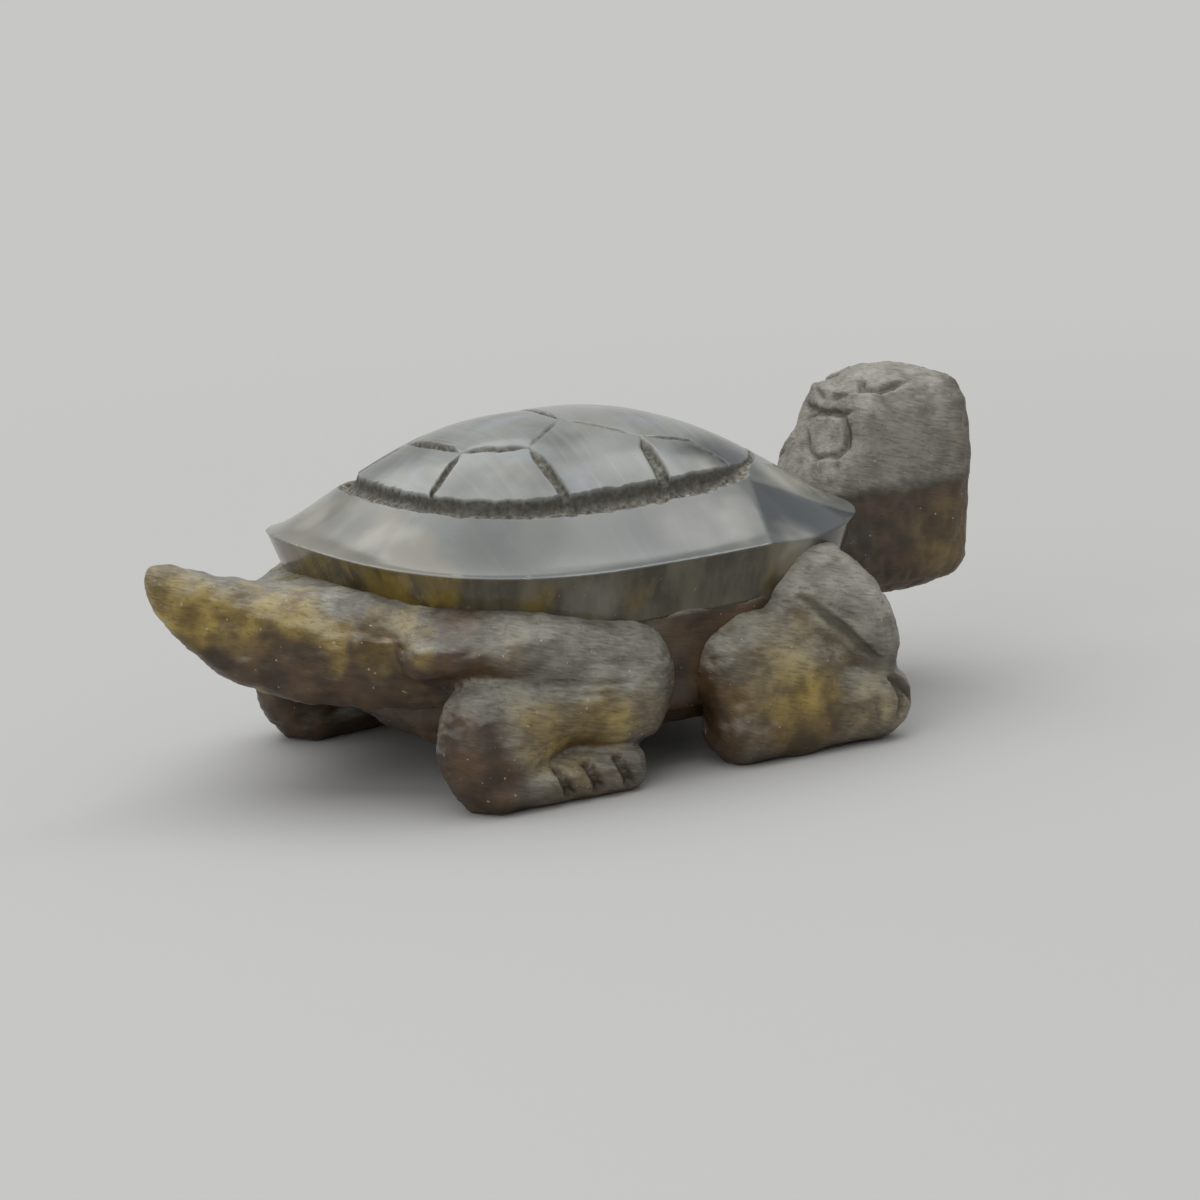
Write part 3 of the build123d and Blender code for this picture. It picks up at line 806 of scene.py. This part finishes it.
def facet_reach(x, y):
    """How far a place lies inside the flat that is ground at each front corner of the rim: the lesser of
    its distances from the two lines that meet at the groove's front corner."""
    corner, side, front = np.array([(14.6, 13.1), (12.2, 20.4), (26, 14.2)])
    offset = np.stack([x, np.abs(y)]) - corner[:, None]
    reach = []
    for turn, end in ((1, side), (-1, front)):
        along = (end - corner) / np.linalg.norm(end - corner)
        reach.append(turn * (offset[0] * along[1] - offset[1] * along[0]))
    return np.maximum(np.minimum(*reach), 0)


def shell_z(x, y, sizes):
    """Height of the shell's top: the rim and a dome that falls to nothing at the outline. The dome is
    fuller towards the head, where the power of its fall is higher. The front corners are ground flatter."""
    ahead = (np.maximum(x, 0) / SHELL_FRONT) ** 2
    fullness = DOME_FLATNESS + DOME_FRONT_FULLNESS * ahead / (ahead + (y / SHELL_HALF_WIDTH) ** 2 + 1e-3)
    fall = 1 - shell_radius(x, y) ** fullness
    dome = DOME_TOP - sizes.rim_height / MM
    top = rim_z(x, sizes) + dome * np.sign(fall) * np.abs(fall) ** DOME_EDGE
    return top - sizes.facet_slope * facet_reach(x, y)


def groove_offset(x, y):
    """Signed distance in millimetres from the main groove's middle, positive towards the rim."""
    radius = np.maximum(shell_radius(x, y), 1e-6)
    length = np.where(x > 0, SHELL_FRONT, SHELL_REAR)
    dx = (x / length) ** 2 / length / radius ** 2
    dy = (y / SHELL_HALF_WIDTH) ** 2 / SHELL_HALF_WIDTH / radius ** 2
    return (radius - GROOVE_SHARE) / np.maximum(np.hypot(dx, dy), 1e-6)


def groove_depth(x, y, sizes):
    """Depth of the main groove: a steep wall under the dome, a broken floor and a slope outside."""
    flat = np.column_stack([x, y, np.zeros_like(x)])
    across = np.abs(y) / SHELL_HALF_WIDTH
    side = np.where(x > 0, smooth_ramp(across, 0.52, 0.63), 0.8 + 0.2 * smooth_ramp(across, 0.1, 0.6))
    half = (0.3 + 0.7 * side) * sizes.groove_width / MM / 2
    half = half * (1 + 0.14 * layered_noise(flat * 0.9, 3, 5))
    depth = (0.3 + 0.7 * side) * sizes.groove_depth / MM
    away = groove_offset(x, y) + 0.05 * layered_noise(flat * 1.6, 2, 9)
    inner = smooth_ramp(away, -half, -half * 0.6)
    outer = 1 - smooth_ramp(away, half * 0.15, half * 1.05)
    floor = 1 + 0.16 * layered_noise(flat * 2.2, 3, 21)
    return depth * inner * outer * floor


def plan_place(corner, side):
    """Place in millimetres of a scute's corner on one side, from its shares."""
    along, across = LEFT_CORNERS.get(corner, SCUTE_CORNERS[corner]) if side > 0 else SCUTE_CORNERS[corner]
    return along * (SHELL_FRONT if along > 0 else SHELL_REAR), side * across * SHELL_HALF_WIDTH, 0.0


def seam_depth(x, y, sizes):
    """Depth of the scute seams: slender cuts between corners, pointed at both ends."""
    flat = np.column_stack([x, y, np.zeros_like(x)])
    flat += 0.07 * np.column_stack([layered_noise(flat * 0.9, 3, seed) for seed in (31, 37, 41)]) * (1, 1, 0)
    width, depth = sizes.seam_width / MM, sizes.seam_depth / MM
    lines = []
    for corners, wide, deep in SEAMS:
        for side in (1, -1):
            line = [plan_place(corner, side) for corner in corners]
            lines.append((line, wide * width, deep * depth))
    for corner, wide, deep in CROSS_SEAMS:
        line = [plan_place(corner, side) for side in (1, -1)]
        lines.append((line, wide * width, deep * depth))
    return cut_lines(flat, lines)


def dome_mesh(sizes):
    """Dome: a square grid drawn out to the groove's oblong, whose height is the shell's less its cuts.
    A point (u, v) of the square goes to u times the cube root of 1 - |v| cubed / 2, and the same with u
    and v changed over. A wall and a level floor close it."""
    line = np.linspace(-1, 1, sizes.rows)
    u, v = (grid.ravel() for grid in np.meshgrid(line, line, indexing="ij"))
    x = u * np.cbrt(1 - np.abs(v) ** 3 / 2) * GROOVE_SHARE
    y = v * np.cbrt(1 - np.abs(u) ** 3 / 2) * GROOVE_SHARE * SHELL_HALF_WIDTH
    x = x * np.where(x > 0, SHELL_FRONT, SHELL_REAR)
    groove = groove_depth(x, y, sizes)
    seams = seam_depth(x, y, sizes) * (1 - np.clip(groove / (0.5 * sizes.groove_depth / MM), 0, 1))
    z = shell_z(x, y, sizes) - groove - seams
    count = sizes.rows
    grid = np.arange(count * count).reshape(count, count)
    top = np.stack([grid[:-1, :-1], grid[1:, :-1], grid[1:, 1:], grid[:-1, 1:]], -1).reshape(-1, 4)
    ring = np.concatenate([grid[:-1, 0], grid[-1, :-1], grid[:0:-1, -1], grid[0, :0:-1]])
    base = np.arange(len(ring)) + count * count
    vertices = np.concatenate([np.column_stack([x, y, z]),
                               np.column_stack([x[ring], y[ring], np.full(len(ring), SEAT)]),
                               [(0, 0, SEAT)]])
    wall = np.stack([ring, base, np.roll(base, -1), np.roll(ring, -1)], -1)
    floor = np.stack([base, np.full(len(base), len(vertices) - 1), np.roll(base, -1)], -1)
    cut = np.zeros(len(vertices))
    cut[:count * count] = np.clip((groove + seams) / ROUGH_DEPTH, 0, 1)
    return vertices, [top, wall, floor], cut


def oblong(turn):
    """Places on the unit oblong of power three at some turns."""
    return tuple(np.sign(part) * np.abs(part) ** (2 / 3) for part in (np.cos(turn), np.sin(turn)))


def rim_mesh(sizes):
    """Rim: a profile carried round the oblong. It runs from the groove's floor out to the sharp edge, down
    the leaning skirt, in under the shell and up again inside the dome's wall."""
    # steps of about equal length along an oblong of 50 by 42 mm, found from its length so far
    fine = np.linspace(0, 2 * np.pi, RIM_TURNS * 40)
    fx, fy = oblong(fine)
    run = np.concatenate([[0], np.cumsum(np.hypot(np.diff(fx * 25), np.diff(fy * 21)))])
    ax, ay = oblong(np.interp(np.linspace(0, run[-1], RIM_TURNS, endpoint=False), run, fine))
    front_z = (sizes.rim_height + sizes.front_rise) / MM
    rear_z = (sizes.rim_height + sizes.rear_rise) / MM
    side_z = sizes.rim_height / MM

    def wall_point(z):
        """Plan place of the skirt's wall at a height: the oblong shrinks evenly downwards."""
        length = np.where(ax > 0, SHELL_FRONT + (z - front_z) * SKIRT_SLOPE,
                          SHELL_REAR + (z - rear_z) * SKIRT_SLOPE)
        return ax * length, ay * (SHELL_HALF_WIDTH + (z - side_z) * SKIRT_SLOPE)

    edge = rim_z(ax * SHELL_FRONT, sizes)
    for _ in range(6):
        edge = shell_z(*wall_point(edge), sizes)
    ex, ey = wall_point(edge)
    length = np.where(ax > 0, SHELL_FRONT, SHELL_REAR)
    ix, iy = ax * length * GROOVE_SHARE, ay * SHELL_HALF_WIDTH * GROOVE_SHARE
    chips = 0.06 * np.clip(layered_noise(np.column_stack([ex, ey, edge]) * 1.1, 3, 41), 0, 1)
    rows, cuts = [], []

    def add_row(x, y, z, cut):
        """Next row of the profile, with how rough it is."""
        rows.append(np.column_stack([x, y, z + np.zeros(RIM_TURNS)]))
        cuts.append(cut + np.zeros(RIM_TURNS))

    for share in (*np.linspace(0, 0.2, 26), *np.linspace(0.2, 0.93, 34)[1:], *np.linspace(0.93, 1, 9)[1:]):
        x = ix + (ex - ix) * share
        y = iy + (ey - iy) * share
        groove = groove_depth(x, y, sizes)
        round_off = 0.10 * smooth_ramp(share, 0.965, 1) ** 2 + chips * smooth_ramp(share, 0.93, 1)
        add_row(x, y, shell_z(x, y, sizes) - groove - round_off, np.clip(groove / ROUGH_DEPTH, 0, 1))
    for share in (*np.linspace(0, 0.12, 7)[1:], *np.linspace(0.12, 1, 22)[1:]):
        z = edge + (SEAT - edge) * share
        x, y = wall_point(z)
        inward = 1 - (0.004 + chips / 60) * (1 - smooth_ramp(share, 0, 0.05)) ** 2
        add_row(x * inward, y * inward, z - 0.10 * (1 - smooth_ramp(share, 0, 0.07)), 0)
    for share in (0.9, 0.8):
        add_row(x * share, y * share, SEAT, 1)
    for z in np.linspace(SEAT, edge.min(), 3):
        add_row(ix, iy, z, 1)
    vertices = np.concatenate(rows)
    count = len(rows)
    grid = np.arange(count * RIM_TURNS).reshape(count, RIM_TURNS)
    below = np.roll(grid, -1, 0)
    quads = np.stack([grid, below, np.roll(below, -1, 1), np.roll(grid, -1, 1)], -1).reshape(-1, 4)
    return vertices, [quads], np.concatenate(cuts)


# Soft patches on the shell, mirrored: place, radius and strength of the painted silver sheen with some pale
# stone, of darker stone with painted shade and of gold on the skirt
PALE_STONE_AND_PAINTED_SHEEN_PATCHES = (
    (-19, 6.2, 22.7, 3, 0.45), (-17, 9, 22.8, 2.6, 0.35), (10.5, 17.4, 21.8, 3.6, 0.45),
    (5, 17.8, 21.8, 4, 0.2), (10.8, 12, 25.8, 2.4, 0.55), (4.2, 6.6, 29.4, 4.2, 0.3),
    (-7.6, 9.6, 27.4, 3, 0.25), (20, 11, 23, 4.5, 0.8), (16, 19.1, 18.5, 3.8, 0.5),
    (-5.5, 19.5, 17.2, 4, 0.2),
)
DARK_STONE_AND_PAINTED_SHADE_PATCHES = (
    (14, 10.4, 26.2, 4.2, 0.75), (11.1, 11, 26.5, 3.6, 0.7), (-21.5, 8, 21.5, 4, 0.3),
    (-13, 14, 22.6, 5, 0.3), (-5, 17, 22, 5, 0.25), (1, 17.6, 21.8, 4, 0.25),
    (-19.5, 1.6, 23, 4, 0.6), (16.5, 8, 26, 3.5, 0.4), (-12, 8, 26.4, 3.5, 0.25),
    (-3.5, 13, 26.4, 3, 0.3), (3, 19, 21.4, 9, 0.18), (-11, 17, 21.6, 6, 0.15),
)
SKIRT_GOLD = ((-10.6, 18.9, 17.6, 2.4, 0.9), (-1.5, 19.8, 17.3, 2.8, 0.7), (13.9, 18.3, 17.6, 3.4, 0.8))


def painted(points, patches):
    """Sum of soft round patches: each is strongest at its middle and gone at its radius."""
    waver = np.column_stack([layered_noise(points * 0.5, 2, seed) for seed in (61, 62, 63)])
    folded = mirrored(points) + 0.8 * waver
    total = np.zeros(len(points))
    for *middle, radius, strength in patches:
        total += strength * smooth_ramp(1 - np.linalg.norm(folded - middle, axis=1) / radius, 0, 0.9)
    return total


def shell_tints(vertices, sizes, ring):
    """Where the shell's colour changes: painted shade on the main groove's inner wall, the band and skirt of
    the rim, the golden vein, a painted dark bluish reflection on the flats at the front corners, pale stone
    with a painted silver sheen, and darker stone with painted shade."""
    x, y, z = vertices.T
    away = groove_offset(x, y)
    near = np.abs(away) < 1.6
    below = z - rim_z(x, sizes) + sizes.facet_slope * facet_reach(x, y)
    skirt = (1 - smooth_ramp(below, -0.24, -0.10)) * ring
    return {
        # painted shade on the main groove's inner wall under the dome's edge, and less of it in the seams
        "deep": np.where(near, smooth_ramp(0.35 - away, 0, 0.9), 0.45),
        "band": smooth_ramp(away, 0.3, 1.2) * ring,
        "skirt": skirt,
        "gold": smooth_ramp(-x + lattice_noise(vertices * 0.35, 77), 16, 17.5)
        + painted(vertices, SKIRT_GOLD),
        # painted dark bluish reflection on the flats at the front corners
        "facet_painted_reflection": smooth_ramp(facet_reach(x, y), 0.05, 0.5) * (1 - skirt),
        # painted silver sheen, with some pale stone on the skirt
        "pale_stone_and_painted_sheen": painted(vertices, PALE_STONE_AND_PAINTED_SHEEN_PATCHES),
        # darker stone together with painted shade
        "dark_stone_and_painted_shade": painted(vertices, DARK_STONE_AND_PAINTED_SHADE_PATCHES),
    }


class TURTLE_OT_shell(bpy.types.Operator):
    """Shell: the domed middle with its scute seams, and the rim around it"""
    bl_idname = "turtle.shell"
    bl_label = "Carve the shell"

    def execute(self, context):
        sizes = context.scene.turtle_shell
        material = material_named("hand_polished_labradorite", polished_labradorite)
        for name, node, make, ring in (("domed_scutes", "carapace_dome", dome_mesh, 0),
                                       ("rim_and_skirt", "marginal_rim", rim_mesh, 1)):
            vertices, faces, cut = make(sizes)
            add_piece(name, vertices, faces, material, [node],
                      {"cut": cut, **shell_tints(vertices, sizes, ring)})
        return {"FINISHED"}


# Carved zones

# Rounds that even a zone's grid out and settle it, and the depth of a carved line whose floor is wholly dark
# with painted shade
EVEN_ROUNDS = 2
SETTLE_ROUNDS = 2
PAINTED_SHADE_DEPTH = 0.4


def carve_zone(name, node, field, cuts, low, high, grain, seed, rounds=1):
    """Carved zone: the level surface of its field, divided and settled onto the field, less the carved
    lines and the cutting wheel's marks, which run along the grain."""
    stone = bpy.context.scene.turtle_stone
    vertices, quads = level_surface(field, low, high, stone.coarse_step / MM)
    vertices = settle(relax(vertices, quads, EVEN_ROUNDS), field, SETTLE_ROUNDS)
    for _ in range(rounds):
        vertices, quads = divide(vertices, quads)
    vertices = settle(relax(vertices, quads, EVEN_ROUNDS), field, SETTLE_ROUNDS)
    normals = outward_normals(vertices, quads)
    carved = cuts(vertices)
    depth = carved + wheel_marks(vertices, stone.mark_depth / MM, grain, seed)
    ground = vertices[:, 2].min()
    vertices = vertices - normals * depth[:, None]
    vertices[:, 2] = np.maximum(vertices[:, 2], max(ground, 0) if ground > -0.2 else ground)
    # the carved lines are painted in shade, darker as they deepen, and the faces carry dust with painted
    # light and shade
    add_piece(name, vertices, [quads], material_named("wheel_cut_labradorite", wheel_cut_labradorite),
              [node],
              {"dust_and_painted_shading": dust_and_painted_shading_share(vertices, outward_normals(vertices, quads)),
               "cut": np.clip(carved / PAINTED_SHADE_DEPTH, 0, 1), "gold": gold_share(vertices)})


def no_cuts(points):
    """No carved lines."""
    return np.zeros(len(points))


def wheel_marks(points, depth, grain, seed):
    """Marks of the cutting wheel: fine ripples that run along the limb, and shallow flats."""
    fine = layered_noise(points * np.array(grain) * 1.6, 3, seed)
    broad = layered_noise(points * 0.35, 2, seed + 9)
    return depth * (fine + 2.0 * broad + 1)


# Soft patches on the carved stone, mirrored: place, radius and strength of the dust with painted light and
# shade, where negative strengths paint shade, and of the gold
DUST_AND_PAINTED_SHADING_PATCHES = (
    (-8, 21.5, 14.5, 5, 0.6), (-2.5, 20.5, 12.5, 6, 0.45), (21, 20.5, 13.5, 6.5, 0.7),
    (23.5, 18.5, 10.5, 4, 0.4), (-17, 17.5, 16.8, 5.5, -0.6), (-11, 20, 10.5, 3, 0.35),
    (-6, 21, 10.2, 3.5, 0.3), (-19.5, 20.5, 7.5, 6, -0.65), (-17.5, 21.5, 2.5, 6, -0.6),
    (-7, 22, 3.2, 5, -0.3), (15, 22, 4, 6, -0.6), (12.9, 22, 3.6, 5, -0.5),
    (6.5, 21, 4.6, 5, -0.6), (17.6, 21, 12, 4, 0.4), (-24, 12, 18, 5, -0.5),
    (-15, 15, 18, 5, -0.4), (-38, 1.2, 20.4, 5, 0.8), (-29, 6.5, 12.5, 4.5, -0.5),
    (-21, 8, 6.5, 9, -0.5), (22.4, 21.5, 3.4, 3, 0.4),
)
GOLD_PATCHES = (
    (-38, 0.8, 20.4, 5.5, 0.85), (-34.5, 2.5, 16.6, 4.2, 0.6), (-31, 4.5, 15.4, 3, 0.3),
    (-23, 12.3, 13.6, 3, 0.7), (-19.6, 15.8, 14, 2.4, 0.6), (-28, 6, 17.5, 4, 0.3),
    (-11.4, 22.3, 6.6, 4.6, 0.8), (-6, 22.3, 6.9, 4.6, 0.85), (-2, 21.5, 6.8, 3, 0.3),
    (13.4, 21.5, 7, 9, 0.6), (15, 22.3, 6.6, 3, 0.45), (21.9, 22, 3.4, 4.4, 0.5),
    (-10, 22.3, 2.8, 4, 0.4), (42, 5.5, 13.5, 7, 0.35),
)


def gold_share(points):
    """How golden the stone is: a vein through the rump and tail, and patches."""
    vein = 0.55 * smooth_ramp(layered_noise(points * 0.22, 3, 77), -0.1, 0.5)
    vein *= smooth_ramp(-points[:, 0], 12, 18) * smooth_ramp(points[:, 2], 6, 10)
    return np.clip(np.maximum(vein, 0) + painted(points, GOLD_PATCHES), 0, 1)


def dust_and_painted_shading_share(points, normals):
    """How much pale dust and painted light the carved stone carries: most where it faces up, as if lit from
    above, or bulges out at the limbs' sides, and least on the walls below a shoulder and under the jaw, which
    are painted in shade. Patches add painted light and painted shade, and the head's front is painted darker."""
    x, y, z = points.T
    # faces that point up are painted paler, as light falling from above
    up = 0.9 * smooth_ramp(normals[:, 2] + 0.10 * layered_noise(points * 0.4, 3, 51), -0.10, 0.50)
    limb = smooth_ramp(np.abs(y), 19.8, 21.8) * smooth_ramp(x, -22, -18)
    share = up + (np.maximum(up, 0.5) - up) * limb + painted(points, DUST_AND_PAINTED_SHADING_PATCHES)
    # the head is painted in shade below its jaw line, darker towards the snout and a little lighter towards
    # its top
    head = smooth_ramp(x - 0.3 * (z - 20), 24, 25) * smooth_ramp(z, 10, 19.5)
    jaw = smooth_ramp(z + 0.4 * layered_noise(points * 0.5, 2, 57), 19, 20.6)
    painted_head_shading = 0.85 + 0.15 * smooth_ramp(z, 22, 30) - 0.6 * smooth_ramp(x, 40, 44.5)
    return np.clip(share * (1 - head) + (0.05 + 0.95 * jaw) * painted_head_shading * head, 0, 1)


# Grain and seed of the wheel's marks. Tail and rear legs share theirs, which run on across the border
HIND_MARKS = (0.25, 0.5, 1.1), 23
FRONT_MARKS = (0.4, 0.6, 0.7), 29
HEAD_MARKS = (1, 1, 0.35), 37


class TURTLE_OT_trunk(bpy.types.Operator):
    """Trunk wall and belly plate"""
    bl_idname = "turtle.trunk"
    bl_label = "Carve the trunk"

    def execute(self, context):
        def wall(points):
            return soft_max(trunk_field(points), TRUNK_FOOT - points[:, 2], 1.2)

        def belly(points):
            plate = soft_max(trunk_field(points) + 2.4, BELLY - points[:, 2], 1)
            return np.maximum(plate, points[:, 2] - 6.5)

        grain = (0.3, 1, 1)
        carve_zone("trunk_wall", "trunk", wall, no_cuts, (-23, -22, 4.5), (28, 22, 17), grain, 11, 0)
        carve_zone("belly_plate", "plastron", belly, no_cuts, (-22, -20, 2.5), (26, 20, 7.5), grain, 13, 0)
        return {"FINISHED"}


def border(points):
    """Distance beyond the border between tail and thigh, along the flank, positive towards the thigh."""
    return (points[:, 0] + np.abs(points[:, 1])) * np.sqrt(0.5) + 3.5


def tail_field(points):
    """Rump and tail up to the border."""
    return hind_upper_field(points) + sink(border(points))


def rear_leg_field(points):
    """Thigh from the border on, with knee, shin and foot, cut off level at the ground."""
    inner = sink(9.0 - np.abs(points[:, 1])) + sink(-border(points))
    field = soft_min(hind_upper_field(points) + inner, hind_lower_field(points), 0.35)
    return np.maximum(field, -points[:, 2])


class TURTLE_OT_tail(bpy.types.Operator):
    """Tail and rump"""
    bl_idname = "turtle.tail"
    bl_label = "Carve the tail"

    def execute(self, context):
        carve_zone("tail_and_rump", "tail", tail_field, no_cuts, (-40.5, -22, 5), (-5, 22, 24), *HIND_MARKS)
        return {"FINISHED"}


class TURTLE_OT_rear_legs(bpy.types.Operator):
    """Folded rear legs"""
    bl_idname = "turtle.rear_legs"
    bl_label = "Carve the rear legs"

    def execute(self, context):
        for side, low, high in (("left", 2, 24.5), ("right", -24.5, -2)):
            carve_zone(f"folded_rear_leg_{side}", f"rear_{side}_leg", rear_leg_field, rear_leg_cuts,
                       (-30, low, -1), (5, high, 20.5), *HIND_MARKS)
        return {"FINISHED"}


class TURTLE_OT_front_legs(bpy.types.Operator):
    """Front legs"""
    bl_idname = "turtle.front_legs"
    bl_label = "Carve the front legs"

    def execute(self, context):
        for side, low, high in (("left", 5, 24.5), ("right", -24.5, -5)):
            carve_zone(f"front_leg_{side}", f"front_{side}_leg", front_leg_field, front_leg_cuts,
                       (1, low, -1), (29, high, 23), *FRONT_MARKS)
        return {"FINISHED"}


class TURTLE_OT_head(bpy.types.Operator):
    """Neck and head with its scales"""
    bl_idname = "turtle.head"
    bl_label = "Carve the head"

    def execute(self, context):
        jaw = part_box("head")[0].z / MM

        def below(points):
            return head_field(points) + sink(points[:, 2] - jaw)

        def above(points):
            return head_field(points) + sink(jaw - points[:, 2])

        carve_zone("neck_and_throat", "neck", below, head_cuts, (20, -9, 6.5), (47, 9, 22), *HEAD_MARKS)
        carve_zone("head_with_scales", "head", above, head_cuts, (20, -9, 12), (47, 9, 32), *HEAD_MARKS)
        return {"FINISHED"}


# Stage

# The camera, fitted to the photograph's outlines, in millimetres about the crest
EYE = np.array([-186.4, -347.5, 94.8])
CAMERA_TURN, CAMERA_TILT, CAMERA_ROLL = np.radians([-28.995, 11.721, 3.425])
LENS = 133.0
BACKDROP = "#C7C7C5"
WORLD_LIGHT = 0.42
# Half the floor's size, and the distances from the object between which the floor loses its shadow
FLOOR = 4
SHADOW_NEAR, SHADOW_FAR = 0.06, 0.30
# Soft lights: name, place, height of the point they aim at, size and watts
LIGHTS = (
    ("overhead_softbox", (-0.05, 0.10, 0.70), 0.01, 1, 4.2),
    ("rear_softbox", (-0.06, 0.50, 0.38), 0.015, 0.20, 0.14),
    ("right_softbox", (0.33, 0.02, 0.50), 0.015, 0.22, 0.20),
    ("left_softbox", (-0.42, -0.30, 0.28), 0.015, 0.40, 0.75),
)


def plainly_seen(tree):
    """1 for rays from the camera or from gloss or glass, and 0 for those that carry light."""
    path = add_node(tree, "LightPath").outputs
    seen = path["Is Camera Ray"]
    for kind in ("Is Glossy Ray", "Is Transmission Ray"):
        seen = add_node(tree, "Math", {0: seen, 1: path[kind]}, operation="MAXIMUM").outputs[0]
    return seen


def backdrop_paint(code):
    """Matt floor paint that keeps the object's shadow near it. Farther off, the camera and any gloss or
    glass see it evenly in its own colour, as they see the world behind it."""
    material, tree, shader, place = new_material("matt_floor_paint")
    set_inputs(tree, shader, {"Base Color": linear(code, 0.88), "Roughness": 0.9})
    away = add_node(tree, "VectorMath", {0: place}, operation="LENGTH").outputs["Value"]
    far = add_node(tree, "MapRange", {"Value": away, "From Min": SHADOW_NEAR, "From Max": SHADOW_FAR},
                   interpolation_type="SMOOTHSTEP").outputs["Result"]
    even = add_node(tree, "Math", {0: far, 1: plainly_seen(tree)}, operation="MULTIPLY").outputs[0]
    glow = add_node(tree, "Emission", {"Color": linear(code)}).outputs[0]
    both = add_node(tree, "MixShader", {0: even, 1: shader.outputs["BSDF"], 2: glow})
    set_inputs(tree, tree.nodes["Material Output"], {"Surface": both.outputs[0]})
    return material


def add_light(name, place, aim, size, watts):
    """Square soft light that points at a height over the middle."""
    lamp = bpy.data.lights.new(name, "AREA")
    lamp.size = size
    lamp.energy = watts
    light = bpy.data.objects.new(name, lamp)
    light.location = place
    light.rotation_mode = "QUATERNION"
    light.rotation_quaternion = (Vector((0, 0, aim)) - Vector(place)).to_track_quat("-Z", "Y")
    bpy.context.scene.collection.objects.link(light)


class TURTLE_OT_stage(bpy.types.Operator):
    """Pale floor, soft lights and the camera"""
    bl_idname = "turtle.stage"
    bl_label = "Set the stage"

    def execute(self, context):
        scene = context.scene
        mesh = bpy.data.meshes.new("floor")
        corners = [(x * FLOOR, y * FLOOR, 0) for x, y in ((-1, -1), (1, -1), (1, 1), (-1, 1))]
        mesh.from_pydata(corners, [], [(0, 1, 2, 3)])
        mesh.materials.append(backdrop_paint(BACKDROP))
        floor = bpy.data.objects.new("floor", mesh)
        scene.collection.objects.link(floor)

        world = bpy.data.worlds.new("studio")
        scene.world = world
        world.use_nodes = True
        tree = world.node_tree
        carried = (WORLD_LIGHT, WORLD_LIGHT, WORLD_LIGHT, 1)
        shade = add_node(tree, "Mix", {0: plainly_seen(tree), 6: carried, 7: linear(BACKDROP)},
                         data_type="RGBA").outputs[2]
        set_inputs(tree, tree.nodes["Background"], {"Color": shade})

        for light in LIGHTS:
            add_light(*light)

        right = np.array([np.cos(CAMERA_TURN), np.sin(CAMERA_TURN), 0])
        level = np.array([np.sin(CAMERA_TURN), -np.cos(CAMERA_TURN), 0])
        back = level * np.cos(CAMERA_TILT) + np.array([0, 0, np.sin(CAMERA_TILT)])
        up = np.cross(back, right)
        c, s = np.cos(CAMERA_ROLL), np.sin(CAMERA_ROLL)
        axes = np.column_stack([c * right - s * up, s * right + c * up, back])
        camera = bpy.data.cameras.new("camera")
        camera.lens = LENS
        camera.sensor_width = 36.0
        camera.clip_start, camera.clip_end = 0.01, 20
        view = bpy.data.objects.new("camera", camera)
        view.matrix_world = Matrix.Translation((EYE + CREST) * MM) @ Matrix(axes.tolist()).to_4x4()
        scene.collection.objects.link(view)
        scene.camera = view
        scene.view_settings.view_transform = "Standard"
        return {"FINISHED"}


class TURTLE_PT_panel(bpy.types.Panel):
    bl_idname = "TURTLE_PT_panel"
    bl_label = "Carved stone turtle"
    bl_space_type = "VIEW_3D"
    bl_region_type = "UI"
    bl_category = "Turtle"

    def draw(self, context):
        column = self.layout.column()
        for group in (context.scene.turtle_shell, context.scene.turtle_stone, context.scene.turtle_colours):
            for key in group.__annotations__:
                column.prop(group, key)
        for operator in OPERATORS:
            column.operator(operator.bl_idname)


OPERATORS = (TURTLE_OT_shell, TURTLE_OT_trunk, TURTLE_OT_tail, TURTLE_OT_rear_legs, TURTLE_OT_front_legs,
             TURTLE_OT_head, TURTLE_OT_stage)
CLASSES = (ShellSizes, StoneSizes, StoneColours, *OPERATORS, TURTLE_PT_panel)


def register():
    for item in CLASSES:
        bpy.utils.register_class(item)
    bpy.types.Scene.turtle_shell = PointerProperty(type=ShellSizes)
    bpy.types.Scene.turtle_stone = PointerProperty(type=StoneSizes)
    bpy.types.Scene.turtle_colours = PointerProperty(type=StoneColours)


def unregister():
    del bpy.types.Scene.turtle_colours
    del bpy.types.Scene.turtle_stone
    del bpy.types.Scene.turtle_shell
    for item in reversed(CLASSES):
        bpy.utils.unregister_class(item)


def main():
    register()
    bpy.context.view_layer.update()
    for step in ("shell", "trunk", "tail", "rear_legs", "front_legs", "head", "stage"):
        getattr(bpy.ops.turtle, step)()


if __name__ == "__main__":
    main()
